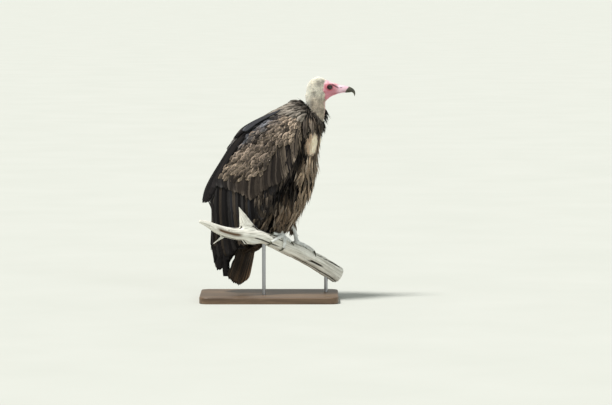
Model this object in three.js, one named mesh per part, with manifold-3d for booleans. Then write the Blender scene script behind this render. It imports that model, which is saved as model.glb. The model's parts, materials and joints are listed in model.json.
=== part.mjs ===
// A hooded vulture, life size, gripping a short cut length of a dead branch on a plain display stand.
// Millimetres, +Z up. The origin is the middle of the stand's underside, on the floor.
// The bird faces +X, turned a little towards -Y, so its right side shows along +Y.
import * as THREE from "three";
import { mergeVertices } from "three/addons/utils/BufferGeometryUtils.js";
import Module from "manifold-3d";

const wasm = await Module();
wasm.setup();

// ---------------------------------------------------------------- driving dimensions
const GAP = 0.35; // left between two pieces that touch
const PERCH_CLEARANCE = 2; // left between plumage and the branch that it hangs past

// The perch point is the top of the branch between the two feet. Bird and branch are built round it.
const PERCH_POINT = new THREE.Vector3(60, -10, 166);
const BODY_YAW = 12; // degrees that the body turns from +X towards -Y
const BRANCH_AZIMUTH = 28; // degrees that the branch's lower end turns from +X towards +Y

const BACK_TILT = 16.8; // degrees that the tail leans back from hanging straight down
const TAIL_LENGTH = 232;
const TAIL_TWIST = 25; // degrees that the tail is turned about its own length
const TAIL_SPREAD = 17; // degrees between its outermost feathers

const EYE_RADIUS = 6.6;
const TOE_RADIUS = 5.4;
const CLAW_RADIUS = 3.3;
const TARSUS_RADIUS = 6;

const BASE_SIZE = new THREE.Vector3(380, 260, 18);
const BASE_CORNER = 22;
const BASE_BEVEL = 2;
const ROD_RADIUS = 5;
const ROD_SOCKET = 10; // how deep a rod sits in the base and in the branch

// ---------------------------------------------------------------- colours
const finish = (color, roughness, metalness = 0) =>
  new THREE.MeshStandardMaterial({ color, roughness, metalness });
const FINISH = {
  plumage: finish(0x57493d, 0.9),
  flight: finish(0x2b2724, 0.8),
  down: finish(0x9a937f, 0.95),
  face: finish(0xc97f8c, 0.55),
  horn: finish(0x22211c, 0.35),
  eye: finish(0x1a1210, 0.05),
  leg: finish(0xc6cbc8, 0.7),
  deadWood: finish(0xa3a594, 0.9),
  base: finish(0x6d5844, 0.45),
  steel: finish(0x8f9296, 0.3, 1),
};

// ---------------------------------------------------------------- solids
const radians = THREE.MathUtils.degToRad;
const vector = (x, y, z) => new THREE.Vector3(x, y, z);

// A geometry with only positions, and one vertex where several meet.
function welded(geometry) {
  const plain = geometry.clone();
  plain.deleteAttribute("normal");
  plain.deleteAttribute("uv");
  return mergeVertices(plain, 1e-3);
}

function solidOf(geometry) {
  const plain = welded(geometry);
  return new wasm.Manifold(
    new wasm.Mesh({
      numProp: 3,
      vertProperties: plain.attributes.position.array,
      triVerts: new Uint32Array(plain.index.array),
    }),
  );
}

function geometryOf(solid) {
  const mesh = solid.getMesh();
  const positions = new Float32Array(mesh.numVert * 3);
  for (let i = 0; i < mesh.numVert; i++) {
    const from = i * mesh.numProp;
    positions.set(mesh.vertProperties.subarray(from, from + 3), i * 3);
  }
  return new THREE.BufferGeometry()
    .setAttribute("position", new THREE.BufferAttribute(positions, 3))
    .setIndex(new THREE.BufferAttribute(new Uint32Array(mesh.triVerts), 1));
}

// A geometry's solid with its skin moved outwards, to cut a neighbour so that a gap is left.
function grown(geometry, by = GAP) {
  const fat = welded(geometry);
  fat.computeVertexNormals();
  const { position, normal } = fat.attributes;
  for (let i = 0; i < position.count; i++)
    position.setXYZ(
      i,
      position.getX(i) + by * normal.getX(i),
      position.getY(i) + by * normal.getY(i),
      position.getZ(i) + by * normal.getZ(i),
    );
  return solidOf(fat);
}

// Cutting can leave crumbs, so only the largest body is kept.
function largestBody(solid) {
  const bodies = solid.decompose().sort((a, b) => b.volume() - a.volume());
  return bodies[0];
}

function cutBy(geometry, ...neighbours) {
  let solid = solidOf(geometry);
  for (const neighbour of neighbours) solid = solid.subtract(grown(neighbour));
  return geometryOf(largestBody(solid));
}

// A closed body through rings of points, each with as many points as the last and going round
// anticlockwise as seen from the end of the row. The second half of each ring is split into
// triangles the other way, so that a body with mirrored rings is the same on both sides.
function throughRings(rings) {
  const count = rings[0].length;
  const middle = (ring) =>
    ring.reduce((sum, p) => sum.add(p), vector(0, 0, 0)).divideScalar(count);
  const points = [...rings.flat(), middle(rings[0]), middle(rings.at(-1))];
  const first = points.length - 2;
  const last = points.length - 1;
  const index = [];
  for (let k = 0; k < count; k++) {
    const next = (k + 1) % count;
    for (let r = 0; r + 1 < rings.length; r++) {
      const [a, b] = [r * count + k, r * count + next];
      if (k < count / 2) index.push(a, b, a + count, b, b + count, a + count);
      else index.push(a, b, b + count, a, b + count, a + count);
    }
    index.push(first, next, k);
    const top = (rings.length - 1) * count;
    index.push(last, top + k, top + next);
  }
  return new THREE.BufferGeometry().setFromPoints(points).setIndex(index);
}

// Rows of numbers, each led by its place, made one smooth row of numbers for any place between.
function smoothTable(rows) {
  const places = rows.map((row) => row[0]);
  const values = rows.flatMap((row) => row.slice(1));
  const curve = new THREE.CubicInterpolant(places, values, rows[0].length - 1);
  return (place) => Array.from(curve.evaluate(place));
}

const spaced = (from, to, count) =>
  Array.from({ length: count }, (_, i) => from + ((to - from) * i) / (count - 1));

const rounded = (value, power) => Math.sign(value) * Math.abs(value) ** (2 / power);

// A round tube along a curve, whose half height and half width are given along the curve.
function taperedTube(curve, sizeAt, steps, sides) {
  const frames = curve.computeFrenetFrames(steps);
  const rings = spaced(0, 1, steps + 1).map((share, i) => {
    const centre = curve.getPointAt(share);
    const [across, up] = sizeAt(share);
    return spaced(0, 2 * Math.PI, sides + 1)
      .slice(0, sides)
      .map((angle) =>
        centre
          .clone()
          .addScaledVector(frames.normals[i], up * Math.cos(angle))
          .addScaledVector(frames.binormals[i], across * Math.sin(angle)),
      );
  });
  return throughRings(rings);
}

// ---------------------------------------------------------------- bird: outline of body and folded wings
// In the bird's frame x is forwards, y is to its left and z is up, and 0 is the perch point.
// Each row: height, front, back, half width, where it is widest, thickness of the wing over the body.
const CLOAK = smoothTable([
  [-112, -186, -218, 14, -204, 5],
  [-91, -150, -224, 25, -188, 7],
  [-55, -112, -226, 36, -165, 9],
  [-27, -84, -228, 45, -145, 11],
  [0, -48, -230, 53, -125, 14],
  [41, -2, -236, 65, -100, 18],
  [77, 26, -245, 80, -75, 20],
  [118, 48, -252, 88, -45, 18],
  [150, 63, -243, 93, -25, 20],
  [192, 71, -217, 97, -15, 22],
  [228, 75, -193, 99, -10, 23],
  [267, 78, -169, 100, -8, 24],
  [294, 83, -146, 99, -8, 20],
  [318, 86, -124, 93, -8, 16],
  [338, 78, -86, 78, 4, 12],
  [354, 67, -56, 60, 8, 9],
  [372, 53, -27, 39, 14, 6],
  [384, 43, -2, 23, 20, 3],
  [391, 30, 16, 5, 23, 1],
]);
const CLOAK_BOTTOM = -112;
const CLOAK_TOP = 391;
const CLOAK_RINGS = 18;
const RING_POINTS = 22;

// A level ring of the body: an egg that is widest at one place, more or less square in plan.
function eggRing(z, front, back, side, widest, power) {
  return spaced(0, 2 * Math.PI, RING_POINTS + 1)
    .slice(0, RING_POINTS)
    .map((angle) => {
      const along = rounded(Math.cos(angle), power);
      const reach = along > 0 ? front - widest : widest - back;
      return vector(widest + along * reach, side * rounded(Math.sin(angle), power), z);
    });
}

const CLOAK_POWER = 2.7;
const BODY_POWER = 2.25;

const cloak = throughRings(
  spaced(CLOAK_BOTTOM, CLOAK_TOP, CLOAK_RINGS).map((z) => {
    const [front, back, side, widest] = CLOAK(z);
    return eggRing(z, front, back, side, widest, CLOAK_POWER);
  }),
);
const core = throughRings(
  spaced(CLOAK_BOTTOM - 20, CLOAK_TOP, CLOAK_RINGS).map((z) => {
    const [front, back, side, widest, wing] = CLOAK(Math.max(z, CLOAK_BOTTOM));
    return eggRing(z, front, back + wing, side - wing, widest, BODY_POWER);
  }),
);

// ---------------------------------------------------------------- side-view shapes
const FAR_OUT = 260; // further than any part of the bird reaches

// A shape drawn in side view, x forwards and y up, made a slab across the bird's right side.
function rightSlab(shape, inner = GAP) {
  return new THREE.ExtrudeGeometry(shape, {
    depth: FAR_OUT,
    bevelEnabled: false,
    curveSegments: 3,
  })
    .translate(0, 0, inner)
    .rotateX(Math.PI / 2);
}

const smoothShape = (points) =>
  new THREE.Shape(
    new THREE.SplineCurve(points.map(([x, y]) => new THREE.Vector2(x, y))).getPoints(
      points.length * 2,
    ),
  );
const straightShape = (points) =>
  new THREE.Shape(points.map(([x, y]) => new THREE.Vector2(x, y)));

// One long feather in side view: straight sides that round in to a blunt tip.
function featherShape(root, tip, width) {
  const along = new THREE.Vector2().subVectors(tip, root);
  const length = along.length();
  along.normalize();
  const across = new THREE.Vector2(-along.y, along.x);
  const at = (share, side) =>
    root
      .clone()
      .addScaledVector(along, share * length)
      .addScaledVector(across, (side * width) / 2);
  return new THREE.Shape([
    at(0, -0.8),
    at(0.75, -1),
    at(0.93, -0.72),
    at(0.985, -0.3),
    at(1, 0.1),
    at(0.97, 0.5),
    at(0.9, 0.86),
    at(0.75, 1),
    at(0, 0.8),
  ]);
}

// A row of feathers whose roots and tips are each spaced along a curve, joined into one solid.
function featherRow({ roots, tips, count, width }) {
  const curveOf = (points) =>
    new THREE.SplineCurve(points.map(([x, y]) => new THREE.Vector2(x, y)));
  const [rootLine, tipLine] = [curveOf(roots), curveOf(tips)];
  return spaced(0, 1, count)
    .map((share) =>
      solidOf(
        rightSlab(featherShape(rootLine.getPoint(share), tipLine.getPoint(share), width)),
      ),
    )
    .reduce((row, feather) => row.add(feather));
}

// ---------------------------------------------------------------- trunk
// The trunk is the core above the line under the tail, with the mantle over the top of the wings.
const MANTLE_EDGE = [
  [60, 352],
  [30, 346],
  [-16, 350],
  [-58, 334],
  [-99, 312],
  [-138, 288],
  [-175, 262],
];
const UNDERTAIL_LINE = [
  [-88, -32],
  [-235, 62],
];

const centredSlab = (shape, depth) =>
  new THREE.ExtrudeGeometry(shape, { depth, bevelEnabled: false })
    .translate(0, 0, -depth / 2)
    .rotateX(Math.PI / 2);

const aboveWings = centredSlab(
  straightShape([...MANTLE_EDGE, [-200, 420], [80, 420]]),
  FAR_OUT,
);
const underTail = centredSlab(
  straightShape([
    ...UNDERTAIL_LINE,
    [-FAR_OUT, -FAR_OUT],
    [FAR_OUT, -FAR_OUT],
    [FAR_OUT, UNDERTAIL_LINE[0][1]],
  ]),
  FAR_OUT,
);

function makeTrunk(...neighbours) {
  const mantle = solidOf(cloak).intersect(solidOf(aboveWings));
  const body = solidOf(core).subtract(solidOf(underTail)).add(mantle);
  return geometryOf(
    largestBody(
      neighbours.reduce(
        (rest, neighbour) => rest.subtract(grown(neighbour, PERCH_CLEARANCE)),
        body,
      ),
    ),
  );
}

// ---------------------------------------------------------------- wings
// The bend of the wing is at the shoulder, and the feathers hang down from it.
const COVERT_OUTLINE = [
  [-16, 352],
  [24, 344],
  [40, 318],
  [47, 275],
  [42, 225],
  [25, 182],
  [-3, 150],
  [-50, 132],
  [-105, 122],
  [-155, 132],
  [-188, 158],
  [-174, 212],
  [-138, 268],
  [-96, 308],
];
const SECONDARIES = {
  roots: [[-10, 168], [-60, 160], [-125, 158]],
  tips: [[-44, 96], [-92, 34], [-158, -42]],
  count: 9,
  width: 34,
};
const PRIMARIES = {
  roots: [[-128, 160], [-160, 165], [-190, 178]],
  tips: [[-180, -66], [-203, -97], [-211, -52]],
  count: 4,
  width: 32,
};
const TERTIALS = {
  roots: [[-78, 314], [-104, 306], [-130, 292]],
  tips: [[-198, 122], [-222, 106], [-242, 104]],
  count: 3,
  width: 36,
};

function makeWing(...neighbours) {
  const clear = neighbours.map((neighbour) => grown(neighbour, PERCH_CLEARANCE));
  const shell = [grown(core), grown(aboveWings), ...clear].reduce(
    (rest, cutter) => rest.subtract(cutter),
    solidOf(cloak),
  );
  const covertSlab = rightSlab(smoothShape(COVERT_OUTLINE));
  const tertialSlab = geometryOf(featherRow(TERTIALS));
  const aroundCoverts = shell.subtract(grown(covertSlab));
  const flight = featherRow(SECONDARIES).add(featherRow(PRIMARIES));
  const pieces = {
    coverts: shell.intersect(solidOf(covertSlab)),
    tertials: aroundCoverts.intersect(solidOf(tertialSlab)),
    quills: aroundCoverts.intersect(flight).subtract(grown(tertialSlab)),
  };
  return Object.fromEntries(
    Object.entries(pieces).map(([name, solid]) => [name, geometryOf(largestBody(solid))]),
  );
}

// ---------------------------------------------------------------- tail
const TAIL_ROOT = vector(-85, 0, 96);
const TAIL_FEATHERS = 6;
const TAIL_FEATHER_WIDTH = 29;
const TAIL_THICKNESS = 5;
const TAIL_ROUNDING = 12; // how much shorter the outermost feathers are

function makeTail(...neighbours) {
  const feathers = spaced(-1, 1, TAIL_FEATHERS).map((side) => {
    const angle = radians((side * TAIL_SPREAD) / 2);
    const length = TAIL_LENGTH - TAIL_ROUNDING * side * side;
    const root = new THREE.Vector2(side * 10, 0);
    const tip = new THREE.Vector2(
      root.x + length * Math.sin(angle),
      -length * Math.cos(angle),
    );
    const slab = new THREE.ExtrudeGeometry(featherShape(root, tip, TAIL_FEATHER_WIDTH), {
      depth: TAIL_THICKNESS,
      bevelEnabled: false,
    });
    return solidOf(slab.translate(0, 0, -TAIL_THICKNESS / 2));
  });
  const fan = geometryOf(feathers.reduce((row, feather) => row.add(feather)));
  // The fan is drawn in x and y: x becomes the bird's left and y its up before it is turned.
  fan.rotateX(Math.PI / 2).rotateZ(Math.PI / 2 - radians(TAIL_TWIST));
  fan.rotateY(radians(BACK_TILT)).translate(TAIL_ROOT.x, TAIL_ROOT.y, TAIL_ROOT.z);
  return cutBy(fan, ...neighbours);
}

// ---------------------------------------------------------------- head
// The head's frame has its origin between the eyes, x along the bill and z up.
const HEAD_PLACE = vector(104, 22, 421); // in the bird's frame
// Each row: place along the head, top, bottom, half width.
const HEAD = smoothTable([
  [-64, -5, -14, 6],
  [-58, 10, -32, 16],
  [-48, 21, -42, 21],
  [-34, 27.5, -46, 24],
  [-20, 24.5, -44, 24],
  [-9, 19.5, -37, 21.5],
  [0, 15.5, -29, 17.5],
  [10, 11.6, -23.4, 13.2],
  [20, 8.4, -19.6, 10.4],
  [30, 5.8, -17, 8.8],
  [44, 2.8, -15, 7.4],
]);
const HEAD_BACK = -64;
const CERE_FRONT = 44;
const HEAD_RINGS = 14;
const HEAD_POINTS = 16;

// The mouth runs from its corner to the bill, and the jaw is what lies under it.
const MOUTH_CORNER = [3, -20];
const MOUTH_FRONT = [CERE_FRONT, -10.8];

function headRing(x) {
  const [top, bottom, side] = HEAD(x);
  const middle = (top + bottom) / 2;
  return spaced(0, 2 * Math.PI, HEAD_POINTS + 1)
    .slice(0, HEAD_POINTS)
    .map((angle) =>
      vector(x, side * Math.cos(angle), middle + ((top - bottom) / 2) * Math.sin(angle)),
    );
}

function makeHead() {
  const whole = solidOf(
    throughRings(spaced(HEAD_BACK, CERE_FRONT, HEAD_RINGS).map(headRing)),
  );
  const jawShape = (lift) =>
    straightShape([
      [MOUTH_CORNER[0] - lift, MOUTH_CORNER[1] + lift],
      [MOUTH_CORNER[0] - lift, -60],
      [80, -60],
      [80, MOUTH_FRONT[1] + lift],
      [MOUTH_FRONT[0], MOUTH_FRONT[1] + lift],
    ]);
  const depth = 100;
  const jaw = geometryOf(
    largestBody(whole.intersect(solidOf(centredSlab(jawShape(0), depth)))),
  );
  const upper = whole.subtract(solidOf(centredSlab(jawShape(GAP), depth)));
  const [, , side] = HEAD(0);
  const eyeDepth = side - EYE_RADIUS * 0.52;
  const eyes = [-1, 1].map((way) =>
    new THREE.SphereGeometry(EYE_RADIUS, 12, 8).translate(0, way * eyeDepth, 0),
  );
  const head = eyes.reduce((rest, eye) => rest.subtract(grown(eye)), upper);
  return { head: geometryOf(largestBody(head)), jaw, eyes };
}

// Horn of the bill, each row: place along the head, height, half width, half height.
const UPPER_HORN = [
  [36, -4.4, 7.4, 8.6],
  [48, -5.4, 6.5, 7.4],
  [57, -7.2, 5.4, 6.2],
  [64, -11, 4, 4.6],
  [67.8, -17.5, 2.3, 2.5],
  [68.2, -25, 0.5, 0.5],
];
const LOWER_HORN = [
  [38, -13.4, 5.6, 2.7],
  [50, -13.2, 4.6, 2.2],
  [58, -12.8, 3.2, 1.5],
  [62, -12.6, 1.2, 0.5],
];

function hornTube(rows) {
  const curve = new THREE.CatmullRomCurve3(rows.map(([x, z]) => vector(x, 0, z)));
  const sizes = smoothTable(rows.map(([, , side, up], i) => [i, side, up]));
  return taperedTube(curve, (share) => sizes(share * (rows.length - 1)), 9, 8);
}

function makeBill() {
  const ahead = straightShape([
    [CERE_FRONT + GAP, -60],
    [120, -60],
    [120, 60],
    [CERE_FRONT + GAP, 60],
  ]);
  const front = solidOf(centredSlab(ahead, 100));
  const lower = geometryOf(solidOf(hornTube(LOWER_HORN)).intersect(front));
  const upper = geometryOf(
    largestBody(solidOf(hornTube(UPPER_HORN)).intersect(front).subtract(grown(lower))),
  );
  return { upper, lower };
}

// ---------------------------------------------------------------- neck
// Each row: height, middle forwards, middle to the left, half length, half width.
const NECK = smoothTable([
  [318, 72, 2, 16, 17],
  [348, 73, 5, 20, 20],
  [364, 71, 8, 23.5, 21],
  [385, 66, 12, 27, 22.5],
  [402, 64, 14, 27, 22],
]);

function makeNeck(trunk, head, headMatrix) {
  const rings = spaced(318, 402, 6).map((z) => {
    const [x, y, length, width] = NECK(z);
    return spaced(0, 2 * Math.PI, HEAD_POINTS + 1)
      .slice(0, HEAD_POINTS)
      .map((angle) =>
        vector(x + length * Math.cos(angle), y + width * Math.sin(angle), z),
      );
  });
  return cutBy(throughRings(rings), trunk, head.clone().applyMatrix4(headMatrix));
}

// ---------------------------------------------------------------- branch
// In the branch's frame x runs along its plan line, down the slope, and 0 is the perch point.
// Each row: place along, height of the middle, radius.
const BRANCH = [
  [-281, 62, 4.5],
  [-254, 52, 8.5],
  [-227, 38.5, 12],
  [-184, 26, 15],
  [-140, 21, 16.5],
  [-102, 15, 17.5],
  [-62, 1, 18.5],
  [-19, -17, 19.5],
  [28, -38, 21],
  [78, -63, 22.3],
  [121, -88, 23.5],
  [147, -104, 24.3],
];
const BRANCH_START = BRANCH[0][0];
const BRANCH_END = BRANCH.at(-1)[0];
const branchTable = smoothTable(BRANCH);
const branchCurve = new THREE.CatmullRomCurve3(BRANCH.map(([x, z]) => vector(x, 0, z)));

// The lower splinter of the split end, and a twig under it. Each row: x, y, z, radius.
const SPLINTER = [
  [-165, -3, 16, 8],
  [-205, -6, 25, 7],
  [-232, -8, 36, 5],
  [-252, -8, 44, 2.2],
];
const TWIG = [
  [-204, 0, 22, 4.5],
  [-222, -3, 11, 3.4],
  [-242, -6, -1, 2],
];
// The snag stands up from the branch. Each row: height, middle along, half length, half width.
const SNAG = smoothTable([
  [8, -122, 30, 12],
  [30, -129, 29, 12.5],
  [50, -139, 19.5, 10.5],
  [72, -148.5, 10.5, 7.5],
  [98, -161, 2, 1.8],
]);

function woodTube(rows) {
  const curve = new THREE.CatmullRomCurve3(rows.map(([x, y, z]) => vector(x, y, z)));
  const radii = smoothTable(rows.map((row, i) => [i, row[3]]));
  return taperedTube(
    curve,
    (share) => {
      const [radius] = radii(share * (rows.length - 1));
      return [radius, radius];
    },
    5,
    6,
  );
}

function makeBranch() {
  const lengths = branchCurve.getLengths(200);
  const whole = lengths.at(-1);
  const placeOf = (share) => branchCurve.getPointAt(share).x;
  const stem = taperedTube(
    branchCurve,
    (share) => {
      const [, radius] = branchTable(placeOf(share));
      return [radius, radius];
    },
    Math.round(whole / 28),
    12,
  );
  return geometryOf(
    solidOf(stem).add(solidOf(woodTube(SPLINTER))).add(solidOf(woodTube(TWIG))),
  );
}

function makeSnag(branch) {
  const rings = spaced(8, 98, 6).map((z) => {
    const [x, length, width] = SNAG(z);
    return spaced(0, 2 * Math.PI, 11)
      .slice(0, 10)
      .map((angle) => vector(x + length * Math.cos(angle), width * Math.sin(angle), z));
  });
  return cutBy(throughRings(rings), branch);
}

// A point off the branch's middle line: how far along, degrees round from the top towards the
// bird's right, and how far out from the bark.
function roundBranch(along, degrees, out) {
  const [height, radius] = branchTable(along);
  const slope = (branchTable(along + 1)[0] - branchTable(along - 1)[0]) / 2;
  const up = vector(-slope, 0, 1).normalize();
  const right = vector(0, -1, 0);
  return vector(along, 0, height)
    .addScaledVector(up, (radius + out) * Math.cos(radians(degrees)))
    .addScaledVector(right, (radius + out) * Math.sin(radians(degrees)));
}

// ---------------------------------------------------------------- feet
// Each toe runs from the pad to its end, each given as place along the branch and degrees round it.
const FEET = {
  right: {
    pad: [-38, 10],
    hock: vector(-26, -28, 34), // in the bird's frame, where the bare leg leaves the feathers
    toes: {
      middle: { end: [-31, 108], claw: [-35, 160], length: 1 },
      outer: { end: [-69, 104], claw: [-74, 158], length: 0.9 },
      inner: { end: [-15, 46], claw: [-3, 62], length: 0.85 },
      hallux: { end: [-66, 22], claw: [-78, 62], length: 0.85 },
    },
  },
  left: {
    pad: [11, -14],
    hock: vector(0, 26, 34),
    toes: {
      middle: { end: [54, 34], claw: [64, 70], length: 1 },
      outer: { end: [36, -74], claw: [40, -128], length: 0.9 },
      inner: { end: [40, -22], claw: [56, -26], length: 0.85 },
      hallux: { end: [-6, -88], claw: [-12, -142], length: 0.85 },
    },
  },
};
const TOE_STEPS = 4;
const TOE_SIDES = 6;

// The middle line of a toe or claw: round the branch from one place to another.
function gripCurve([fromAlong, fromTurn], [toAlong, toTurn], outFrom, outTo) {
  return new THREE.CatmullRomCurve3(
    spaced(0, 1, 6).map((share) =>
      roundBranch(
        THREE.MathUtils.lerp(fromAlong, toAlong, share),
        THREE.MathUtils.lerp(fromTurn, toTurn, share),
        THREE.MathUtils.lerp(outFrom, outTo, share),
      ),
    ),
  );
}

function makeFoot({ pad, hock, toes }, branchToBird, branch, thigh) {
  const branchInBird = branch.clone().applyMatrix4(branchToBird);
  const claws = {};
  let foot = solidOf(
    new THREE.SphereGeometry(9, 8, 6).translate(
      ...roundBranch(pad[0], pad[1], 5).applyMatrix4(branchToBird).toArray(),
    ),
  );
  const padTop = roundBranch(pad[0], pad[1], 6).applyMatrix4(branchToBird);
  const leg = new THREE.CatmullRomCurve3([
    padTop,
    padTop.clone().lerp(hock, 0.5).add(vector(2, 0, 0)),
    hock,
    hock.clone().add(vector(2, 0, 16)),
  ]);
  foot = foot.add(
    solidOf(taperedTube(leg, () => [TARSUS_RADIUS * 0.86, TARSUS_RADIUS], 4, 8)),
  );
  for (const [name, toe] of Object.entries(toes)) {
    const thick = TOE_RADIUS * (0.7 + 0.3 * toe.length);
    const line = gripCurve(pad, toe.end, thick * 0.8, thick * 0.62);
    const knuckled = (share) => {
      const radius = thick * (1 - 0.26 * share) * (1 + 0.07 * Math.cos(share * 18));
      return [radius, radius];
    };
    const flesh = taperedTube(line, knuckled, TOE_STEPS, TOE_SIDES);
    const nail = gripCurve(toe.end, toe.claw, thick * 0.62, -1.2);
    const sharp = (share) => {
      const radius = CLAW_RADIUS * toe.length ** 0.5 * (1 - 0.9 * share ** 1.3);
      return [radius * 0.8, radius];
    };
    const claw = taperedTube(nail, sharp, 4, 5).applyMatrix4(branchToBird);
    claws[name] = cutBy(claw, branchInBird);
    foot = foot.add(solidOf(flesh.applyMatrix4(branchToBird)));
  }
  foot = foot.subtract(grown(branchInBird)).subtract(grown(thigh));
  for (const claw of Object.values(claws)) foot = foot.subtract(grown(claw));
  return { foot: geometryOf(largestBody(foot)), claws };
}

// ---------------------------------------------------------------- thighs
// The feathered part of the leg. Each row: height, middle forwards, middle out, half length, half width.
const THIGH_HEIGHTS = [178, 150, 112, 78, 50, 32];

function thighTable(hock, way) {
  const foot = [hock.x + 2, Math.abs(hock.y)];
  return smoothTable(
    [
      [THIGH_HEIGHTS[5] - 12, foot[0], foot[1], 8, 8],
      [THIGH_HEIGHTS[5], foot[0] - 2, foot[1] + 1, 13, 12],
      [THIGH_HEIGHTS[4], (foot[0] - 26) / 2, 32, 21, 19],
      [THIGH_HEIGHTS[3], -14, 38, 29, 26],
      [THIGH_HEIGHTS[2], -6, 43, 42, 30],
      [THIGH_HEIGHTS[1], 0, 44, 42, 28],
      [THIGH_HEIGHTS[0], 2, 40, 20, 18],
    ].map(([z, x, y, length, width]) => [z, x, way * y, length, width]),
  );
}

function makeThigh(hock, way, ...neighbours) {
  const table = thighTable(hock, way);
  const rings = spaced(THIGH_HEIGHTS[5] - 12, THIGH_HEIGHTS[0], 8).map((z) => {
    const [x, y, length, width] = table(z);
    return spaced(0, 2 * Math.PI, 13)
      .slice(0, 12)
      .map((angle) =>
        vector(x + length * Math.cos(angle), y + width * Math.sin(angle), z),
      );
  });
  const solid = neighbours.reduce(
    (rest, neighbour) => rest.subtract(grown(neighbour, 2 * GAP)),
    solidOf(throughRings(rings)),
  );
  return geometryOf(largestBody(solid));
}

// ---------------------------------------------------------------- stand
const ROD_PLACES = { long: -84, short: 109 }; // along the branch

function makeBase(rods) {
  const [x, y] = [BASE_SIZE.x / 2 - BASE_BEVEL, BASE_SIZE.y / 2 - BASE_BEVEL];
  const r = BASE_CORNER;
  const outline = new THREE.Shape()
    .moveTo(-x + r, -y)
    .lineTo(x - r, -y)
    .absarc(x - r, -y + r, r, -Math.PI / 2, 0)
    .absarc(x - r, y - r, r, 0, Math.PI / 2)
    .absarc(-x + r, y - r, r, Math.PI / 2, Math.PI)
    .absarc(-x + r, -y + r, r, Math.PI, Math.PI * 1.5);
  const slab = new THREE.ExtrudeGeometry(outline, {
    depth: BASE_SIZE.z - 2 * BASE_BEVEL,
    bevelThickness: BASE_BEVEL,
    bevelSize: BASE_BEVEL,
    bevelSegments: 1,
    curveSegments: 3,
  });
  return cutBy(slab.translate(0, 0, BASE_BEVEL), ...rods);
}

function makeRod(along, branchToPart) {
  const [height] = branchTable(along);
  const top = vector(along, 0, height - 4).applyMatrix4(branchToPart);
  const bottom = BASE_SIZE.z - ROD_SOCKET;
  return new THREE.CylinderGeometry(ROD_RADIUS, ROD_RADIUS, top.z - bottom, 12)
    .rotateX(Math.PI / 2)
    .translate(top.x, top.y, (top.z + bottom) / 2);
}

// ---------------------------------------------------------------- the whole part
const part = new THREE.Group();
const bird = new THREE.Group();
bird.position.copy(PERCH_POINT);
bird.rotation.z = -radians(BODY_YAW);
const head = new THREE.Group();
head.position.copy(HEAD_PLACE);
head.rotation.z = radians(BODY_YAW); // the head looks straight along +X
bird.add(head);
const perch = new THREE.Group();
perch.position.copy(PERCH_POINT);
perch.rotation.z = radians(BRANCH_AZIMUTH);
part.add(bird, perch);
part.updateMatrixWorld(true);

const branchToBird = bird.matrixWorld.clone().invert().multiply(perch.matrixWorld);
const partToBranch = perch.matrixWorld.clone().invert();

function put(group, name, geometry, material) {
  const flat = geometry.index ? geometry.toNonIndexed() : geometry;
  flat.computeVertexNormals();
  const mesh = new THREE.Mesh(flat, material);
  mesh.name = name;
  group.add(mesh);
  return mesh;
}

function putBothSides(name, geometry, material) {
  put(bird, `${name}_right`, geometry, material);
  put(bird, `${name}_left`, geometry, material).scale.y = -1;
}

const rods = Object.entries(ROD_PLACES).map(([name, along]) => {
  const rod = makeRod(along, perch.matrixWorld);
  put(part, `stand_rod_${name}`, rod, FINISH.steel);
  return rod;
});
put(part, "stand_base", makeBase(rods), FINISH.base);

const rodsAtBranch = rods.map((rod) => rod.clone().applyMatrix4(partToBranch));
const branch = cutBy(makeBranch(), ...rodsAtBranch);
put(perch, "perch_branch", branch, FINISH.deadWood);
const snag = makeSnag(branch);
put(perch, "perch_snag", snag, FINISH.deadWood);

const perchInBird = [branch, snag].map((wood) => wood.clone().applyMatrix4(branchToBird));
const trunk = makeTrunk(...perchInBird);
put(bird, "trunk", trunk, FINISH.plumage);

const wing = makeWing(...perchInBird);
putBothSides("wing_coverts", wing.coverts, FINISH.plumage);
putBothSides("wing_tertials", wing.tertials, FINISH.flight);
putBothSides("wing_quills", wing.quills, FINISH.flight);

const mirrored = (geometry) => {
  const turned = geometryOf(solidOf(geometry)).scale(1, -1, 1);
  const index = turned.index.array;
  for (let i = 0; i < index.length; i += 3)
    [index[i + 1], index[i + 2]] = [index[i + 2], index[i + 1]];
  return turned;
};
const wings = Object.values(wing).flatMap((piece) => [piece, mirrored(piece)]);

for (const [side, way] of [["right", -1], ["left", 1]]) {
  const { hock } = FEET[side];
  const thigh = makeThigh(hock, way, trunk, ...wings);
  put(bird, `thigh_${side}`, thigh, FINISH.plumage);
  const { foot, claws } = makeFoot(FEET[side], branchToBird, branch, thigh);
  put(bird, `foot_${side}`, foot, FINISH.leg);
  for (const [name, claw] of Object.entries(claws))
    put(bird, `claw_${side}_${name}`, claw, FINISH.horn);
}
put(bird, "tail", makeTail(trunk, ...wings), FINISH.flight);

const { head: skull, jaw, eyes } = makeHead();
const bill = makeBill();
put(head, "head", skull, FINISH.down);
put(head, "jaw", jaw, FINISH.face);
put(head, "bill_upper", bill.upper, FINISH.horn);
put(head, "bill_lower", bill.lower, FINISH.horn);
put(head, "eye_right", eyes[0], FINISH.eye);
put(head, "eye_left", eyes[1], FINISH.eye);
put(bird, "neck", makeNeck(trunk, skull, head.matrix), FINISH.down);

export default part;
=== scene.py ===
# %% [markdown]
# # A hooded vulture on its perch
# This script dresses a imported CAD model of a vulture. It takes the CAD nodes as the true outline and
# builds over them what a modeller would sculpt and groom: one skin, many small feathers grown from
# points on that skin, long wing and tail feathers laid out one by one, a weathered branch, scaly feet,
# a horn bill and glossy eyes. All lengths in the tables are millimetres, because the bird was measured
# in them, and they become metres only when a mesh is made.

import json
import math

import bpy
import numpy as np
from mathutils import Matrix, Vector
from mathutils.bvhtree import BVHTree

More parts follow.
